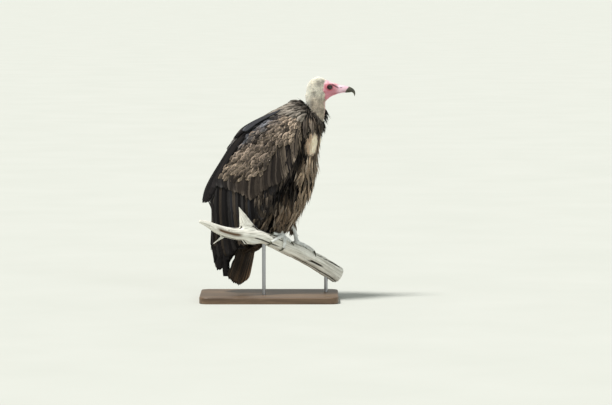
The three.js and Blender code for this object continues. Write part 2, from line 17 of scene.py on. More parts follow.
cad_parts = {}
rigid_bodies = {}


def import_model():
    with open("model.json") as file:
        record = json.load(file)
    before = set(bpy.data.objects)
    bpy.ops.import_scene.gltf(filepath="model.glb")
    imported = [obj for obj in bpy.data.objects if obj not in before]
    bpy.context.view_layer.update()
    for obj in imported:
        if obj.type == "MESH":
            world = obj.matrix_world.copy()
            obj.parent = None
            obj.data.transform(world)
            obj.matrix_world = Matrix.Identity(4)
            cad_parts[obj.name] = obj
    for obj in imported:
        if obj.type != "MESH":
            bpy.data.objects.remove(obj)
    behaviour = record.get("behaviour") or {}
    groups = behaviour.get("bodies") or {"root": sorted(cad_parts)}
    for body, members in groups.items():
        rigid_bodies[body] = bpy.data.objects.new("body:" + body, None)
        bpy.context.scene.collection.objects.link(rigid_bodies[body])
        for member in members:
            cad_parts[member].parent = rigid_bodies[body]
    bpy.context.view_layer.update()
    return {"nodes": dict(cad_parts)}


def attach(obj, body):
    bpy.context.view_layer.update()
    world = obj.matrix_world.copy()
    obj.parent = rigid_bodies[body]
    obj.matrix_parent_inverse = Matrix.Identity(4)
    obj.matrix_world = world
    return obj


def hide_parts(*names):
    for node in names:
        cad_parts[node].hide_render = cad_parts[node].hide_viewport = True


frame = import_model()
MM = 0.001
PERCH_POINT = Vector((60, -10, 166))
BODY_YAW = math.radians(12)
BRANCH_AZIMUTH = math.radians(28)
HEAD_PLACE = Vector((104, 22, 421))
# Voxel sizes of the remeshes, in metres: the finer the relief, the smaller.
VOXEL = {"body": 0.003, "head": 0.00105, "lids": 0.0004, "wood": 0.0013, "foot": 0.0008}
print("CAD nodes:", len(frame["nodes"]))

# %% [markdown]
# ## Frames
# The bird, its head and the branch each have a frame of their own, in which their tables are short and
# easy to read. A frame is a matrix from local millimetres to the part's millimetres. Working in local
# frames and moving the result once is how a rigger would place parts too.

# %% Frames of the bird, its head and the branch
BIRD = Matrix.Translation(PERCH_POINT) @ Matrix.Rotation(-BODY_YAW, 4, "Z")
HEAD = BIRD @ Matrix.Translation(HEAD_PLACE) @ Matrix.Rotation(BODY_YAW, 4, "Z")
BRANCH = Matrix.Translation(PERCH_POINT) @ Matrix.Rotation(BRANCH_AZIMUTH, 4, "Z")


def placed(points, matrix):
    """Local millimetres to the part's metres."""
    m = np.array(matrix)
    return (np.asarray(points) @ m[:3, :3].T + m[:3, 3]) * MM


def local(points, matrix):
    """The part's metres to local millimetres."""
    m = np.array(matrix.inverted())
    return np.asarray(points) / MM @ m[:3, :3].T + m[:3, 3]


def turned(vectors, matrix):
    """Directions from a local frame to the part's."""
    return np.asarray(vectors) @ np.array(matrix)[:3, :3].T


def unit(vectors):
    """Vectors of length one."""
    return vectors / np.maximum(np.linalg.norm(vectors, axis=-1, keepdims=True), 1e-9)


def ramp(value, low, high):
    """0 below low, 1 above high, and a soft S between them. low may be above high."""
    t = np.clip((np.asarray(value, float) - low) / (high - low), 0, 1)
    return t * t * (3 - 2 * t)


def smooth_rows(rows):
    """Rows of numbers, each led by its place, as one smooth function of the place."""
    rows = np.array(rows, float)
    places, values = rows[:, 0], rows[:, 1:]
    slopes = np.gradient(values, places, axis=0)

    def at(place):
        place = np.clip(np.asarray(place, float), places[0], places[-1])
        k = np.clip(np.searchsorted(places, place) - 1, 0, len(places) - 2)
        step = (places[k + 1] - places[k])[..., None]
        t = (place[..., None] - places[k][..., None]) / step
        first = (1 + 2 * t) * (1 - t) ** 2 * values[k]
        last = t * t * (3 - 2 * t) * values[k + 1]
        bend = t * (1 - t) ** 2 * slopes[k] - t * t * (1 - t) * slopes[k + 1]
        return first + last + step * bend

    return at


print("bird frame:", [round(x, 1) for x in BIRD.translation])

# %% [markdown]
# ## Tables of the outline
# The cloak is the smooth egg that the folded wings would just touch, and the long feathers lie on it.
# Each row holds a height, the front, the back, the half width and where it is widest.

# %% Outline tables
CLOAK_POWER = 2.7
CLOAK = smooth_rows(
    [
        [-112, -186, -218, 14, -204],
        [-91, -150, -224, 25, -188],
        [-55, -112, -226, 36, -165],
        [-27, -84, -228, 45, -145],
        [0, -48, -230, 53, -125],
        [41, -2, -236, 65, -100],
        [77, 26, -245, 80, -75],
        [118, 48, -252, 88, -45],
        [150, 63, -243, 93, -25],
        [192, 71, -217, 97, -15],
        [228, 75, -193, 99, -10],
        [267, 78, -169, 100, -8],
        [294, 83, -146, 99, -8],
        [318, 86, -124, 93, -8],
        [338, 78, -86, 78, 4],
        [354, 67, -56, 60, 8],
        [372, 53, -27, 39, 14],
        [384, 43, -2, 23, 20],
        [391, 30, 16, 5, 23],
    ]
)
# Head: place along it, top, bottom, half width.
SKULL = smooth_rows(
    [
        [-64, -5, -14, 6],
        [-58, 10, -32, 16],
        [-48, 21, -42, 21],
        [-34, 27.5, -46, 24],
        [-20, 24.5, -44, 24],
        [-9, 19.5, -37, 21.5],
        [0, 15.5, -29, 17.5],
        [10, 11.6, -23.4, 13.2],
        [20, 8.4, -19.6, 10.4],
        [30, 5.8, -17, 8.8],
        [44, 2.8, -15, 7.4],
    ]
)
# Neck: height, middle forwards, middle to the left, half length, half width, in the bird's frame.
NECK = smooth_rows(
    [
        [318, 72, 2, 16, 17],
        [348, 73, 5, 20, 20],
        [364, 71, 8, 23.5, 21],
        [385, 66, 12, 27, 22.5],
        [402, 64, 14, 27, 22],
    ]
)
# Branch: place along it, height of the middle, radius.
LIMB = smooth_rows(
    [
        [-281, 62, 4.5],
        [-254, 52, 8.5],
        [-227, 38.5, 12],
        [-184, 26, 15],
        [-140, 21, 16.5],
        [-102, 15, 17.5],
        [-62, 1, 18.5],
        [-19, -17, 19.5],
        [28, -38, 21],
        [78, -63, 22.3],
        [121, -88, 23.5],
        [147, -104, 24.3],
    ]
)


def cloak_size(points):
    """1 on the cloak, less inside it and more outside."""
    front, back, side, widest = np.moveaxis(CLOAK(points[..., 2]), -1, 0)
    x = points[..., 0] - widest
    reach = np.where(x > 0, front - widest, widest - back)
    size = np.abs(x / reach) ** CLOAK_POWER + np.abs(points[..., 1] / side) ** CLOAK_POWER
    return size ** (1 / CLOAK_POWER)


def cloak_normal(points):
    """Directions straight out of the cloak, from its size half a millimetre to either side."""
    steps = np.eye(3) * 0.5
    return unit(np.stack([cloak_size(points + s) - cloak_size(points - s) for s in steps], -1))


def onto_cloak(points, out):
    """Points moved level onto the cloak, then out from it by a distance."""
    widest = CLOAK(points[..., 2])[..., 3]
    size = cloak_size(points)[..., None]
    middle = np.stack([widest, 0 * widest, points[..., 2]], -1)
    on = middle + (points - middle) / np.maximum(size, 1e-6)
    return on + cloak_normal(on) * np.asarray(out)[..., None]


print("half width at the shoulder:", round(float(CLOAK(294.0)[2]), 1), "mm")

# %% [markdown]
# ## Making meshes quickly
# Large meshes are filled from arrays, since adding points one at a time would take minutes. Every
# long list of numbers here comes from a formula or a loop.

# %% Mesh helpers
def new_mesh(name, points, faces):
    """A smooth mesh from an array of points in metres and an array of faces of one size."""
    points = np.asarray(points, np.float32).reshape(-1, 3)
    faces = np.asarray(faces, np.int32)
    mesh = bpy.data.meshes.new(name)
    mesh.vertices.add(len(points))
    mesh.vertices.foreach_set("co", points.ravel())
    mesh.loops.add(faces.size)
    mesh.loops.foreach_set("vertex_index", faces.ravel())
    mesh.polygons.add(len(faces))
    mesh.polygons.foreach_set("loop_start", np.arange(0, faces.size, faces.shape[1], dtype=np.int32))
    mesh.update(calc_edges=True)
    mesh.validate()
    mesh.polygons.foreach_set("use_smooth", np.ones(len(mesh.polygons), bool))
    return mesh


def new_piece(name, mesh, material=None):
    """An object at the origin that shows a mesh."""
    piece = bpy.data.objects.new(name, mesh)
    bpy.context.scene.collection.objects.link(piece)
    if material:
        mesh.materials.clear()
        mesh.materials.append(material)
    return piece


def declare(piece, slot, *nodes):
    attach(piece, "root")
    if nodes:
        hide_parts(*nodes)


def points_of(mesh):
    """All points of a mesh as an array."""
    values = np.empty(len(mesh.vertices) * 3, np.float32)
    mesh.vertices.foreach_get("co", values)
    return values.reshape(-1, 3).astype(float)


def normals_of(mesh):
    """All point normals of a mesh as an array."""
    values = np.empty(len(mesh.vertices) * 3, np.float32)
    mesh.vertex_normals.foreach_get("vector", values)
    return values.reshape(-1, 3).astype(float)


def set_points(mesh, points):
    """Moves all points of a mesh."""
    mesh.vertices.foreach_set("co", np.asarray(points, np.float32).ravel())
    mesh.update()


def triangles_of(mesh):
    """The corners of all triangles of a mesh."""
    mesh.calc_loop_triangles()
    values = np.empty(len(mesh.loop_triangles) * 3, np.int32)
    mesh.loop_triangles.foreach_get("vertices", values)
    return values.reshape(-1, 3)


def evened(mesh, values, rounds):
    """Numbers on a mesh's points, each drawn towards the mean of its neighbours."""
    pairs = np.empty(len(mesh.edges) * 2, np.int32)
    mesh.edges.foreach_get("vertices", pairs)
    across = pairs.reshape(-1, 2)[:, ::-1].ravel()
    count = np.bincount(pairs, minlength=len(values))
    for _ in range(rounds):
        values = (values + np.bincount(pairs, values[across], len(values)) / count) / 2
    return values


def set_attribute(mesh, name, values, kind="FLOAT"):
    """Stores a number, a vector or a colour for each point."""
    attribute = mesh.attributes.get(name) or mesh.attributes.new(name, kind, "POINT")
    key = {"FLOAT": "value", "FLOAT_VECTOR": "vector", "FLOAT_COLOR": "color"}[kind]
    values = np.asarray(values, np.float32)
    if kind == "FLOAT_COLOR" and values.shape[-1] == 3:
        values = np.concatenate([values, np.ones((len(values), 1), np.float32)], 1)
    attribute.data.foreach_set(key, values.ravel())


def result_of(piece):
    """The mesh that a piece's modifiers make. The piece is removed."""
    evaluated = piece.evaluated_get(bpy.context.evaluated_depsgraph_get())
    mesh = bpy.data.meshes.new_from_object(evaluated)
    bpy.data.objects.remove(piece)
    return mesh


def remeshed(mesh, voxel):
    """One closed surface around everything in a mesh."""
    piece = new_piece("remesh", mesh)
    modifier = piece.modifiers.new("voxels", "REMESH")
    modifier.mode = "VOXEL"
    modifier.voxel_size = voxel
    modifier.use_smooth_shade = True
    return result_of(piece)


def relaxed(mesh, rounds, amount=0.6, weight=None):
    """Smooths a mesh: each point moves towards the mean of its neighbours."""
    edges = np.empty(len(mesh.edges) * 2, np.int32)
    mesh.edges.foreach_get("vertices", edges)
    a, b = edges.reshape(-1, 2).T
    points = points_of(mesh)
    count = np.bincount(a, minlength=len(points)) + np.bincount(b, minlength=len(points))
    amount = amount if weight is None else amount * weight[:, None]
    for _ in range(rounds):
        mean = np.stack(
            [
                np.bincount(a, points[b, k], len(points)) + np.bincount(b, points[a, k], len(points))
                for k in range(3)
            ],
            -1,
        )
        points = points + amount * (mean / count[:, None] - points)
    set_points(mesh, points)


def joined(parts):
    """Several (points, faces) pairs as one pair."""
    points, faces, start = [], [], 0
    for p, f in parts:
        points.append(np.asarray(p).reshape(-1, 3))
        faces.append(np.asarray(f) + start)
        start += len(points[-1])
    return np.concatenate(points), np.concatenate(faces)


def ring_faces(rings, sides):
    """Quads between rings of points, with the two ends left open."""
    r, k = np.meshgrid(np.arange(rings - 1), np.arange(sides), indexing="ij")
    a, b = r * sides + k, r * sides + (k + 1) % sides
    return np.stack([a, b, b + sides, a + sides], -1).reshape(-1, 4)


def tube(rings):
    """A closed solid through an array of rings, with each end drawn in to a point of its own."""
    rings = np.asarray(rings, float)
    ends = [rings[:1].mean(1, keepdims=True), rings[-1:].mean(1, keepdims=True)]
    cap = [e + (r - e) * 0.02 for e, r in zip(ends, (rings[:1], rings[-1:]))]
    rings = np.concatenate([cap[0], rings, cap[1]])
    count, sides = rings.shape[:2]
    quads = ring_faces(count, sides)
    fans = []
    for start, way in ((0, -1), ((count - 1) * sides, 1)):
        for k in range(1, sides // 2):
            fans.append([start + i for i in (k - 1, k, sides - k - 1, sides - k)][:: way])
    return rings.reshape(-1, 3), np.concatenate([quads, np.array(fans)])


def tube_along(centres, across, up, sides, side=(0, 1, 0)):
    """A tube through centre points whose half width and half height are arrays."""
    centres = np.asarray(centres, float)
    ahead = unit(np.gradient(centres, axis=0))
    side = unit(np.cross(np.cross(ahead, np.asarray(side, float)), ahead))
    top = np.cross(ahead, side)
    angle = np.linspace(0, 2 * math.pi, sides, endpoint=False)[None, :, None]
    a = np.asarray(across)[:, None, None] * np.cos(angle) * side[:, None]
    b = np.asarray(up)[:, None, None] * np.sin(angle) * top[:, None]
    return centres[:, None] + a + b


print("mesh helpers ready")

# %% [markdown]
# ## Nodes and shader maths
# One function adds any node. A small class wraps a node's output, so that shader maths reads like a
# formula and each operation still becomes a node that can be seen in the editor.

# %% Node helpers
def add_node(tree, kind, inputs=None, **settings):
    """Adds a node, sets its options, and sets or links its inputs."""
    node = tree.nodes.new(kind)
    for key, value in settings.items():
        setattr(node, key, value)
    for key, value in (inputs or {}).items():
        value = getattr(value, "socket", value)
        if isinstance(value, bpy.types.NodeSocket):
            tree.links.new(value, node.inputs[key])
        else:
            node.inputs[key].default_value = value
    return node


class Maths:
    """A number in a shader that can be used in a formula."""

    def __init__(self, tree, socket):
        self.tree, self.socket = tree, socket

    def op(self, kind, *others, swap=False):
        values = [self, *others][::-1] if swap else [self, *others]
        node = add_node(self.tree, "ShaderNodeMath", dict(enumerate(values)), operation=kind)
        return Maths(self.tree, node.outputs[0])

    def __add__(self, other):
        return self.op("ADD", other)

    def __mul__(self, other):
        return self.op("MULTIPLY", other)

    def __sub__(self, other):
        return self.op("SUBTRACT", other)

    def __rsub__(self, other):
        return self.op("SUBTRACT", other, swap=True)

    __radd__ = __add__

    def sin(self):
        return self.op("SINE")

    def size(self):
        return self.op("ABSOLUTE")

    def ramp(self, low, high):
        """0 below low, 1 above high, smooth between."""
        inputs = {"Value": self, "From Min": low, "From Max": high}
        kind = "SMOOTHSTEP"
        node = add_node(self.tree, "ShaderNodeMapRange", inputs, interpolation_type=kind)
        return Maths(self.tree, node.outputs[0])


class Paint:
    """A material's node tree with the few things that every material here needs."""

    def __init__(self, name, **constants):
        self.material = bpy.data.materials.new(name)
        self.material.use_nodes = True
        self.tree = self.material.node_tree
        self.shader = self.tree.nodes["Principled BSDF"]
        for key, value in constants.items():
            self.shader.inputs[key.replace("_", " ")].default_value = value
        self.place = add_node(self.tree, "ShaderNodeTexCoord").outputs["Object"]

    def number(self, name):
        """A number stored on the mesh."""
        node = add_node(self.tree, "ShaderNodeAttribute", attribute_name=name)
        return Maths(self.tree, node.outputs["Fac"])

    def colour(self, name):
        """A colour stored on the mesh."""
        return add_node(self.tree, "ShaderNodeAttribute", attribute_name=name).outputs["Color"]

    def stretched(self, place, scale):
        """Places scaled along each axis, which draws a pattern on them out."""
        return add_node(self.tree, "ShaderNodeMapping", {"Vector": place, "Scale": scale}).outputs[0]

    def vector(self, name, scale):
        """A vector stored on the mesh, stretched."""
        node = add_node(self.tree, "ShaderNodeAttribute", attribute_name=name)
        return self.stretched(node.outputs["Vector"], scale)

    def noise(self, scale, detail=4.0, rough=0.55, place=None, distort=0.0):
        """Soft random values about 0.5."""
        inputs = {"Vector": place or self.place, "Scale": scale, "Detail": detail}
        inputs.update({"Roughness": rough, "Distortion": distort})
        node = add_node(self.tree, "ShaderNodeTexNoise", inputs)
        return Maths(self.tree, node.outputs["Fac"])

    def cells(self, scale, feature="F1"):
        """Distance to the nearest of scattered points, or to the line between two."""
        inputs = {"Vector": self.place, "Scale": scale}
        node = add_node(self.tree, "ShaderNodeTexVoronoi", inputs, feature=feature)
        return Maths(self.tree, node.outputs["Distance"])

    def mix(self, share, first, second, blend="MIX"):
        """Two colours mixed by a share from 0 to 1."""
        node = add_node(self.tree, "ShaderNodeMix", data_type="RGBA", blend_type=blend)
        for key, value in ((0, share), (6, first), (7, second)):
            value = getattr(value, "socket", value)
            if isinstance(value, bpy.types.NodeSocket):
                self.tree.links.new(value, node.inputs[key])
            else:
                node.inputs[key].default_value = (*value, 1) if key > 0 else value
        return node.outputs[2]

    def toned(self, tone):
        """The stored colour made darker or lighter by a number about 1."""
        grey = add_node(self.tree, "ShaderNodeCombineColor", {i: tone for i in range(3)}).outputs[0]
        return self.mix(1.0, self.colour("tint"), grey, "MULTIPLY")

    def link(self, socket, value):
        """Feeds one of the shader's inputs."""
        self.tree.links.new(getattr(value, "socket", value), self.shader.inputs[socket])

    def bump(self, height, distance, strength=1.0):
        """Small relief from a height between 0 and 1."""
        inputs = {"Height": height, "Distance": distance, "Strength": strength}
        self.link("Normal", add_node(self.tree, "ShaderNodeBump", inputs).outputs[0])


print("node helpers ready")

# %% [markdown]
# ## Materials
# Feathers, skin and wood read colours stored on their meshes, so skin and coat share one set of
# markings. The shaders only add what is too fine to model: barbs, pores, grain and scratches.

# %% Feather material
def feather_paint(name, barbs, edge_from, pale_edge, streaks, heart_from):
    """Vanes with a shaft, slanting barbs, paler fringes, dark hearts and a tone of their own."""
    paint = Paint(name, Specular_IOR_Level=0.05)
    along, side = paint.number("along"), paint.number("side")
    fleck, fringe = paint.number("fleck"), paint.number("fringe")
    edge = side.size().ramp(edge_from, 1.0)
    tip = along.ramp(0.74, 1.0)
    rim = edge + tip - edge * tip
    cloud = paint.noise(70, 3.0)
    wear = paint.noise(260, 3.0, distort=0.6)
    line = ((side.size() * 0.8 + along * 3.2) * barbs).sin() * 0.5 + 0.5
    tone = fleck * 0.95 + 0.3 + cloud * 0.36 + line * 0.06 - wear.ramp(0.45, 0.7) * 0.14
    vane = paint.toned(tone)
    pale = paint.mix(1.0, vane, pale_edge, "MULTIPLY")
    fringed = paint.mix(rim * fringe * wear.ramp(0.25, 0.5), vane, pale)
    middle = 1.0 - side.size().ramp(0.3, 0.8)
    heart = middle * along.ramp(heart_from, heart_from + 0.3) * (1.0 - along.ramp(0.8, 0.98)) * fringe
    dark = paint.mix(heart * (0.4 + cloud * 0.6), fringed, (0.018, 0.016, 0.017))
    streak = (side * 14.0 + fleck * 30.0 + cloud * 3.0).sin() * 0.5 + 0.5
    dark = paint.mix(streak * streaks, dark, (0.012, 0.011, 0.012))
    shaft = 1.0 - side.size().ramp(0.03, 0.09)
    paint.link("Base Color", paint.mix(shaft * 0.3, dark, (0.05, 0.035, 0.025)))
    paint.link("Roughness", 0.58 + cloud * 0.25 + rim * 0.1)
    paint.bump(line * 0.5 + wear * 0.5 + shaft * 0.6, 0.0002, 0.5)
    return paint.material


VANE = feather_paint("vaned feathers", 130, 0.5, (1.3, 1.27, 1.22), 0.0, 0.35)
QUILL = feather_paint("flight feathers", 420, 0.84, (4.2, 4.2, 4.3), 0.6, 0.15)


def down_paint():
    """Woolly down with no shaft."""
    paint = Paint("woolly down", Roughness=0.9, Specular_IOR_Level=0.15, Sheen_Weight=0.25)
    fleck, along = paint.number("fleck"), paint.number("along")
    wool = paint.noise(900, 3.0)
    patch = paint.noise(75, 3.0)
    tone = fleck * 0.6 + 0.5 + wool * 0.2 + patch * 0.5 + along * 0.2
    paint.link("Base Color", paint.toned(tone))
    paint.link("Roughness", 0.8 + wool * 0.15)
    paint.bump(wool, 0.0004, 0.7)
    return paint.material


DOWN = down_paint()
print("feather materials:", VANE.name, QUILL.name, DOWN.name)


# %% Skin, horn, eye and leg materials
def skin_paint():
    """Bare skin: fine crossing wrinkles, pores and blotches under the stored colour."""
    paint = Paint("bare skin", Specular_IOR_Level=0.35, Subsurface_Weight=0.12, Subsurface_Scale=0.002)
    blotch = paint.noise(120, 3.0)
    wrinkle = paint.noise(420, 3.0, place=paint.vector("fold_place", (1, 1, 2.6)), distort=0.8)
    pores = paint.cells(1100).ramp(0.0, 0.5)
    tone = blotch * 0.4 + 0.72 + wrinkle * 0.18
    paint.link("Base Color", paint.toned(tone))
    paint.link("Roughness", 0.42 + wrinkle * 0.25)
    paint.bump(wrinkle * 0.8 + pores * 0.3, 0.0005, 0.8)
    return paint.material


def horn_paint():
    """Dark horn with growth lines, paler and scuffed in patches, pink where it covers the cere."""
    paint = Paint("dark horn", Specular_IOR_Level=0.5, Coat_Weight=0.25, Coat_Roughness=0.3)
    grain = paint.noise(260, 4.0, distort=1.2)
    cloud = paint.noise(90, 2.0)
    share = (grain * 0.7 + cloud * 0.5).ramp(0.35, 0.9)
    dark = paint.mix(share, (0.020, 0.019, 0.012), (0.115, 0.112, 0.066))
    cere = paint.number("cere")
    paint.link("Base Color", paint.mix(cere.ramp(0.35, 0.75), dark, (0.80, 0.52, 0.60)))
    paint.link("Roughness", 0.28 + grain * 0.3)
    paint.bump(grain, 0.0003, 0.5)
    return paint.material


def eye_paint():
    """A dark brown iris round a black pupil, under a clear wet coat."""
    paint = Paint("wet eye", Roughness=0.2, Coat_Weight=1.0, Coat_Roughness=0.03, Specular_IOR_Level=0.3)
    ring = paint.number("ring")
    streak = paint.noise(900, 3.0)
    iris = paint.mix(streak.ramp(0.3, 0.7), (0.010, 0.006, 0.005), (0.045, 0.024, 0.016))
    rim = paint.mix(ring.ramp(0.78, 0.9), iris, (0.03, 0.03, 0.034))
    paint.link("Base Color", paint.mix(ring.ramp(0.42, 0.34), rim, (0.002, 0.002, 0.002)))
    return paint.material


def leg_paint():
    """Pale scaled skin, greyer where dusty, with painted shade darkening the creases between the scales and
    the scutes.
    """
    paint = Paint("scaled leg", Specular_IOR_Level=0.35)
    scales = paint.cells(620, feature="DISTANCE_TO_EDGE").ramp(0.0, 0.14)
    dust = paint.noise(150, 4.0)
    scute = paint.number("scute")
    pale = paint.mix(dust.ramp(0.3, 0.75), (0.93, 0.95, 0.92), (0.70, 0.71, 0.67))
    # Painted shade: the grooves between the scales and between the scutes are darkened.
    crease_shade = (1.0 - scales) * 0.22 + (1.0 - scute) * 0.6
    paint.link("Base Color", paint.mix(crease_shade, pale, (0.17, 0.16, 0.14)))
    paint.link("Roughness", 0.5 + dust * 0.25)
    paint.bump(scales * 0.3 + scute, 0.0004, 0.8)
    return paint.material


SKIN, HORN, EYE, LEG = skin_paint(), horn_paint(), eye_paint(), leg_paint()
print("body materials:", SKIN.name, HORN.name, EYE.name, LEG.name)


# %% Wood, steel and floor materials
def bark_paint():
    """Bleached dead wood: grain drawn along the limb, dark cracks and grooves whose darkness is partly the
    wood's own and partly painted shade, brown rot in the hollows.
    """
    paint = Paint("dead wood", Specular_IOR_Level=0.2)
    grain = paint.noise(1.0, 5.0, 0.65, paint.vector("grain", (9, 160, 160)), 0.5)
    fine = paint.noise(1.0, 3.0, 0.6, paint.vector("grain", (26, 620, 620)), 0.3)
    cloud = paint.noise(28, 4.0)
    lichen = paint.noise(85, 4.0)
    crack = paint.number("crack")
    wood = paint.mix(grain.ramp(0.3, 0.66), (0.47, 0.44, 0.37), (0.95, 0.93, 0.85))
    for share, colour in (
        (fine.ramp(0.4, 0.62) * 0.45, (0.88, 0.87, 0.80)),
        (fine.ramp(0.42, 0.28) * 0.45, (0.30, 0.27, 0.22)),
        (cloud.ramp(0.5, 0.75) * 0.45, (0.42, 0.41, 0.35)),
        (lichen.ramp(0.62, 0.75) * 0.35, (0.42, 0.46, 0.36)),
        (crack.ramp(0.15, 0.7), (0.035, 0.028, 0.022)),
    ):
        wood = paint.mix(share, wood, colour)
    wood = paint.mix(paint.number("rot"), wood, paint.mix(grain, (0.06, 0.035, 0.02), (0.24, 0.15, 0.085)))
    paint.link("Base Color", wood)
    paint.link("Roughness", 0.7 + grain * 0.25)
    paint.bump(grain * 0.6 + fine * 0.6 - crack * 0.6, 0.0008, 0.7)
    return paint.material


def base_paint():
    """Oiled brown board with long grain."""
    paint = Paint("base board", Specular_IOR_Level=0.4, Coat_Weight=0.2, Coat_Roughness=0.35)
    place = paint.stretched(paint.place, (3.0, 42, 42))
    grain = paint.noise(1.0, 5.0, 0.6, place, 0.9)
    pore = paint.noise(7.0, 3.0, 0.7, place)
    board = paint.mix(grain.ramp(0.3, 0.7), (0.085, 0.05, 0.028), (0.21, 0.135, 0.08))
    paint.link("Base Color", paint.mix(pore.ramp(0.55, 0.75) * 0.5, board, (0.05, 0.028, 0.016)))
    paint.link("Roughness", 0.34 + grain * 0.22)
    paint.bump(grain * 0.5 + pore, 0.0004, 0.4)
    return paint.material


def steel_paint():
    """Brushed steel, its scratches running round the rod."""
    paint = Paint("brushed steel", Metallic=1.0)
    place = paint.stretched(paint.place, (60, 60, 2600))
    brush = paint.noise(1.0, 3.0, 0.6, place)
    paint.link("Base Color", paint.mix(brush, (0.33, 0.335, 0.35), (0.52, 0.525, 0.54)))
    paint.link("Roughness", 0.28 + brush * 0.2)
    paint.bump(brush, 0.0001, 0.4)
    return paint.material


def floor_paint():
    """A plain pale studio floor with faint unevenness."""
    paint = Paint("studio floor", Roughness=0.85, Specular_IOR_Level=0.2)
    cloud = paint.noise(2.5, 3.0)
    paint.link("Base Color", paint.mix(cloud, (0.56, 0.575, 0.53), (0.62, 0.63, 0.59)))
    return paint.material


WOOD, BOARD, STEEL, FLOOR = bark_paint(), base_paint(), steel_paint(), floor_paint()
print("stand materials:", WOOD.name, BOARD.name, STEEL.name)

# %% [markdown]
# ## The skin of the body
# A real bird's outline is feather tips, and its skin lies deeper. The CAD solids give the outline, so
# the skin is made from them in three steps: a voxel remesh turns all the flesh nodes into one closed
# surface, a few rounds of smoothing melt the facets, and each point then sinks by the coat's depth.
# Thin places, such as the edge of the folded wing, sink less so that they keep some thickness.

# %% Body skin
BODY_NODES = [
    "trunk",
    "wing_coverts_right",
    "wing_coverts_left",
    "wing_tertials_right",
    "wing_tertials_left",
    "wing_quills_right",
    "wing_quills_left",
    "thigh_right",
    "thigh_left",
]
COAT_DEPTH = np.array([4.5, 4.0, 4.0, 3.0, 3.0, 2.4, 2.4, 4.0, 4.0])  # one for each node, in mm

body_parts = [(points_of(frame["nodes"][n].data), triangles_of(frame["nodes"][n].data)) for n in BODY_NODES]
node_of_face = np.repeat(np.arange(len(BODY_NODES)), [len(f) for _, f in body_parts])
cad_points, cad_faces = joined(body_parts)
cad_tree = BVHTree.FromPolygons(cad_points.tolist(), cad_faces.tolist())
body_skin = remeshed(new_mesh("body", cad_points, cad_faces), VOXEL["body"])
relaxed(body_skin, 22)
outline = points_of(body_skin)
outward = normals_of(body_skin)
nearest = [cad_tree.find_nearest(Vector(p))[2] for p in outline]
body_label = node_of_face[nearest]
outline_tree = BVHTree.FromPolygons(outline.tolist(), triangles_of(body_skin).tolist())


def thickness_under(point, normal):
    """How thick the body is under a point of its outline, in mm."""
    hit = outline_tree.ray_cast(Vector(point) - Vector(normal) * 0.0004, -Vector(normal))
    return 99.0 if hit[3] is None else hit[3] / MM


thickness = np.array([thickness_under(p, n) for p, n in zip(outline, outward)])
sink = np.minimum(COAT_DEPTH[body_label], thickness * 0.3)
edge_list = np.array([e.vertices for e in body_skin.edges])
for _ in range(6):
    near = np.bincount(edge_list[:, 0], sink[edge_list[:, 1]], len(sink))
    near += np.bincount(edge_list[:, 1], sink[edge_list[:, 0]], len(sink))
    sink = np.minimum(sink, near / np.bincount(edge_list.ravel(), minlength=len(sink)))
set_points(body_skin, outline - outward * sink[:, None] * MM)
print("body skin:", len(body_skin.polygons), "faces, sunk by up to", round(float(sink.max()), 1), "mm")

# %% [markdown]
# ## The skin of the head and neck
# The head gets the most care. Its smooth base comes from two tables of rings, one for the skull and one
# for the neck, fused by a fine remesh. Lids, brow, nostril, gape, ear and folds are then pushed in or
# out of that surface by small formulas placed by the distance to a point or a line.

# %% Head and neck base
def skull_rings():
    x = np.linspace(-63.5, 44, 140)
    top, bottom, side = SKULL(x).T
    angle = np.linspace(0, 2 * math.pi, 120, endpoint=False)
    y = side[:, None] * np.cos(angle)
    z = ((top + bottom) / 2)[:, None] + ((top - bottom) / 2)[:, None] * np.sin(angle)
    return np.stack([x[:, None] + 0 * y, y, z], -1)


def level_rings(z, x, y, length, width, sides):
    """Level oval rings at heights z round middles x and y."""
    angle = np.linspace(0, 2 * math.pi, sides, endpoint=False)
    ahead = x[:, None] + length[:, None] * np.cos(angle)
    left = y[:, None] + width[:, None] * np.sin(angle)
    return np.stack([ahead, left, z[:, None] + 0 * ahead], -1)


def neck_rings():
    z = np.linspace(318, 402, 80)
    return level_rings(z, *NECK(z).T, 110)


skull_points, skull_faces = tube(skull_rings())
neck_points, neck_faces = tube(neck_rings())
head_parts = [(placed(skull_points, HEAD), skull_faces), (placed(neck_points, BIRD), neck_faces)]
head_skin = remeshed(new_mesh("head", *joined(head_parts)), VOXEL["head"])
head_local = local(points_of(head_skin), HEAD)
junction = 1 - ramp(np.abs(head_local[:, 2] + 40), 8, 26)
relaxed(head_skin, 60, 0.7, junction * ramp(-head_local[:, 0], -14, 2))
relaxed(head_skin, 3)
print("head skin:", len(head_skin.polygons), "faces")


# %% Sculpting the head
def waves(points, size, seed, count=12):
    """Smooth random values from about -1 to 1 that vary over a size in mm."""
    wave = np.random.default_rng(seed)
    directions = unit(wave.normal(size=(count, 3))) * 2 * math.pi / size
    directions *= wave.uniform(0.6, 1.5, (count, 1))
    phase = wave.uniform(0, 2 * math.pi, count)
    return np.sin(np.asarray(points) @ directions.T + phase).sum(-1) / math.sqrt(count)


def hump(distance, width):
    """1 at distance 0, falling off smoothly over a width."""
    return np.exp(-((distance / width) ** 2))


EYE_RADIUS = 6.6
EYE_DEPTH = float(SKULL(0.0)[2]) - EYE_RADIUS * 0.52
GAPE, MOUTH_FRONT = (3.0, -20.0), (44.0, -10.8)
NOSTRIL = (31.5, -1.6)
EAR = (-16.5, -15.0)


def mouth_height(x):
    return GAPE[1] + (x - GAPE[0]) * (MOUTH_FRONT[1] - GAPE[1]) / (MOUTH_FRONT[0] - GAPE[0])


def face_side(p):
    """How much a point belongs to the side of the head, away from its middle line."""
    return ramp(np.abs(p[:, 1]), 2.0, 6.0)


def nostril_size(x, z):
    """Below 1 inside the slanting slit of the nostril."""
    ahead = x - NOSTRIL[0]
    return np.hypot(ahead / 3.4, (z - NOSTRIL[1] + 0.18 * ahead) / 1.25)


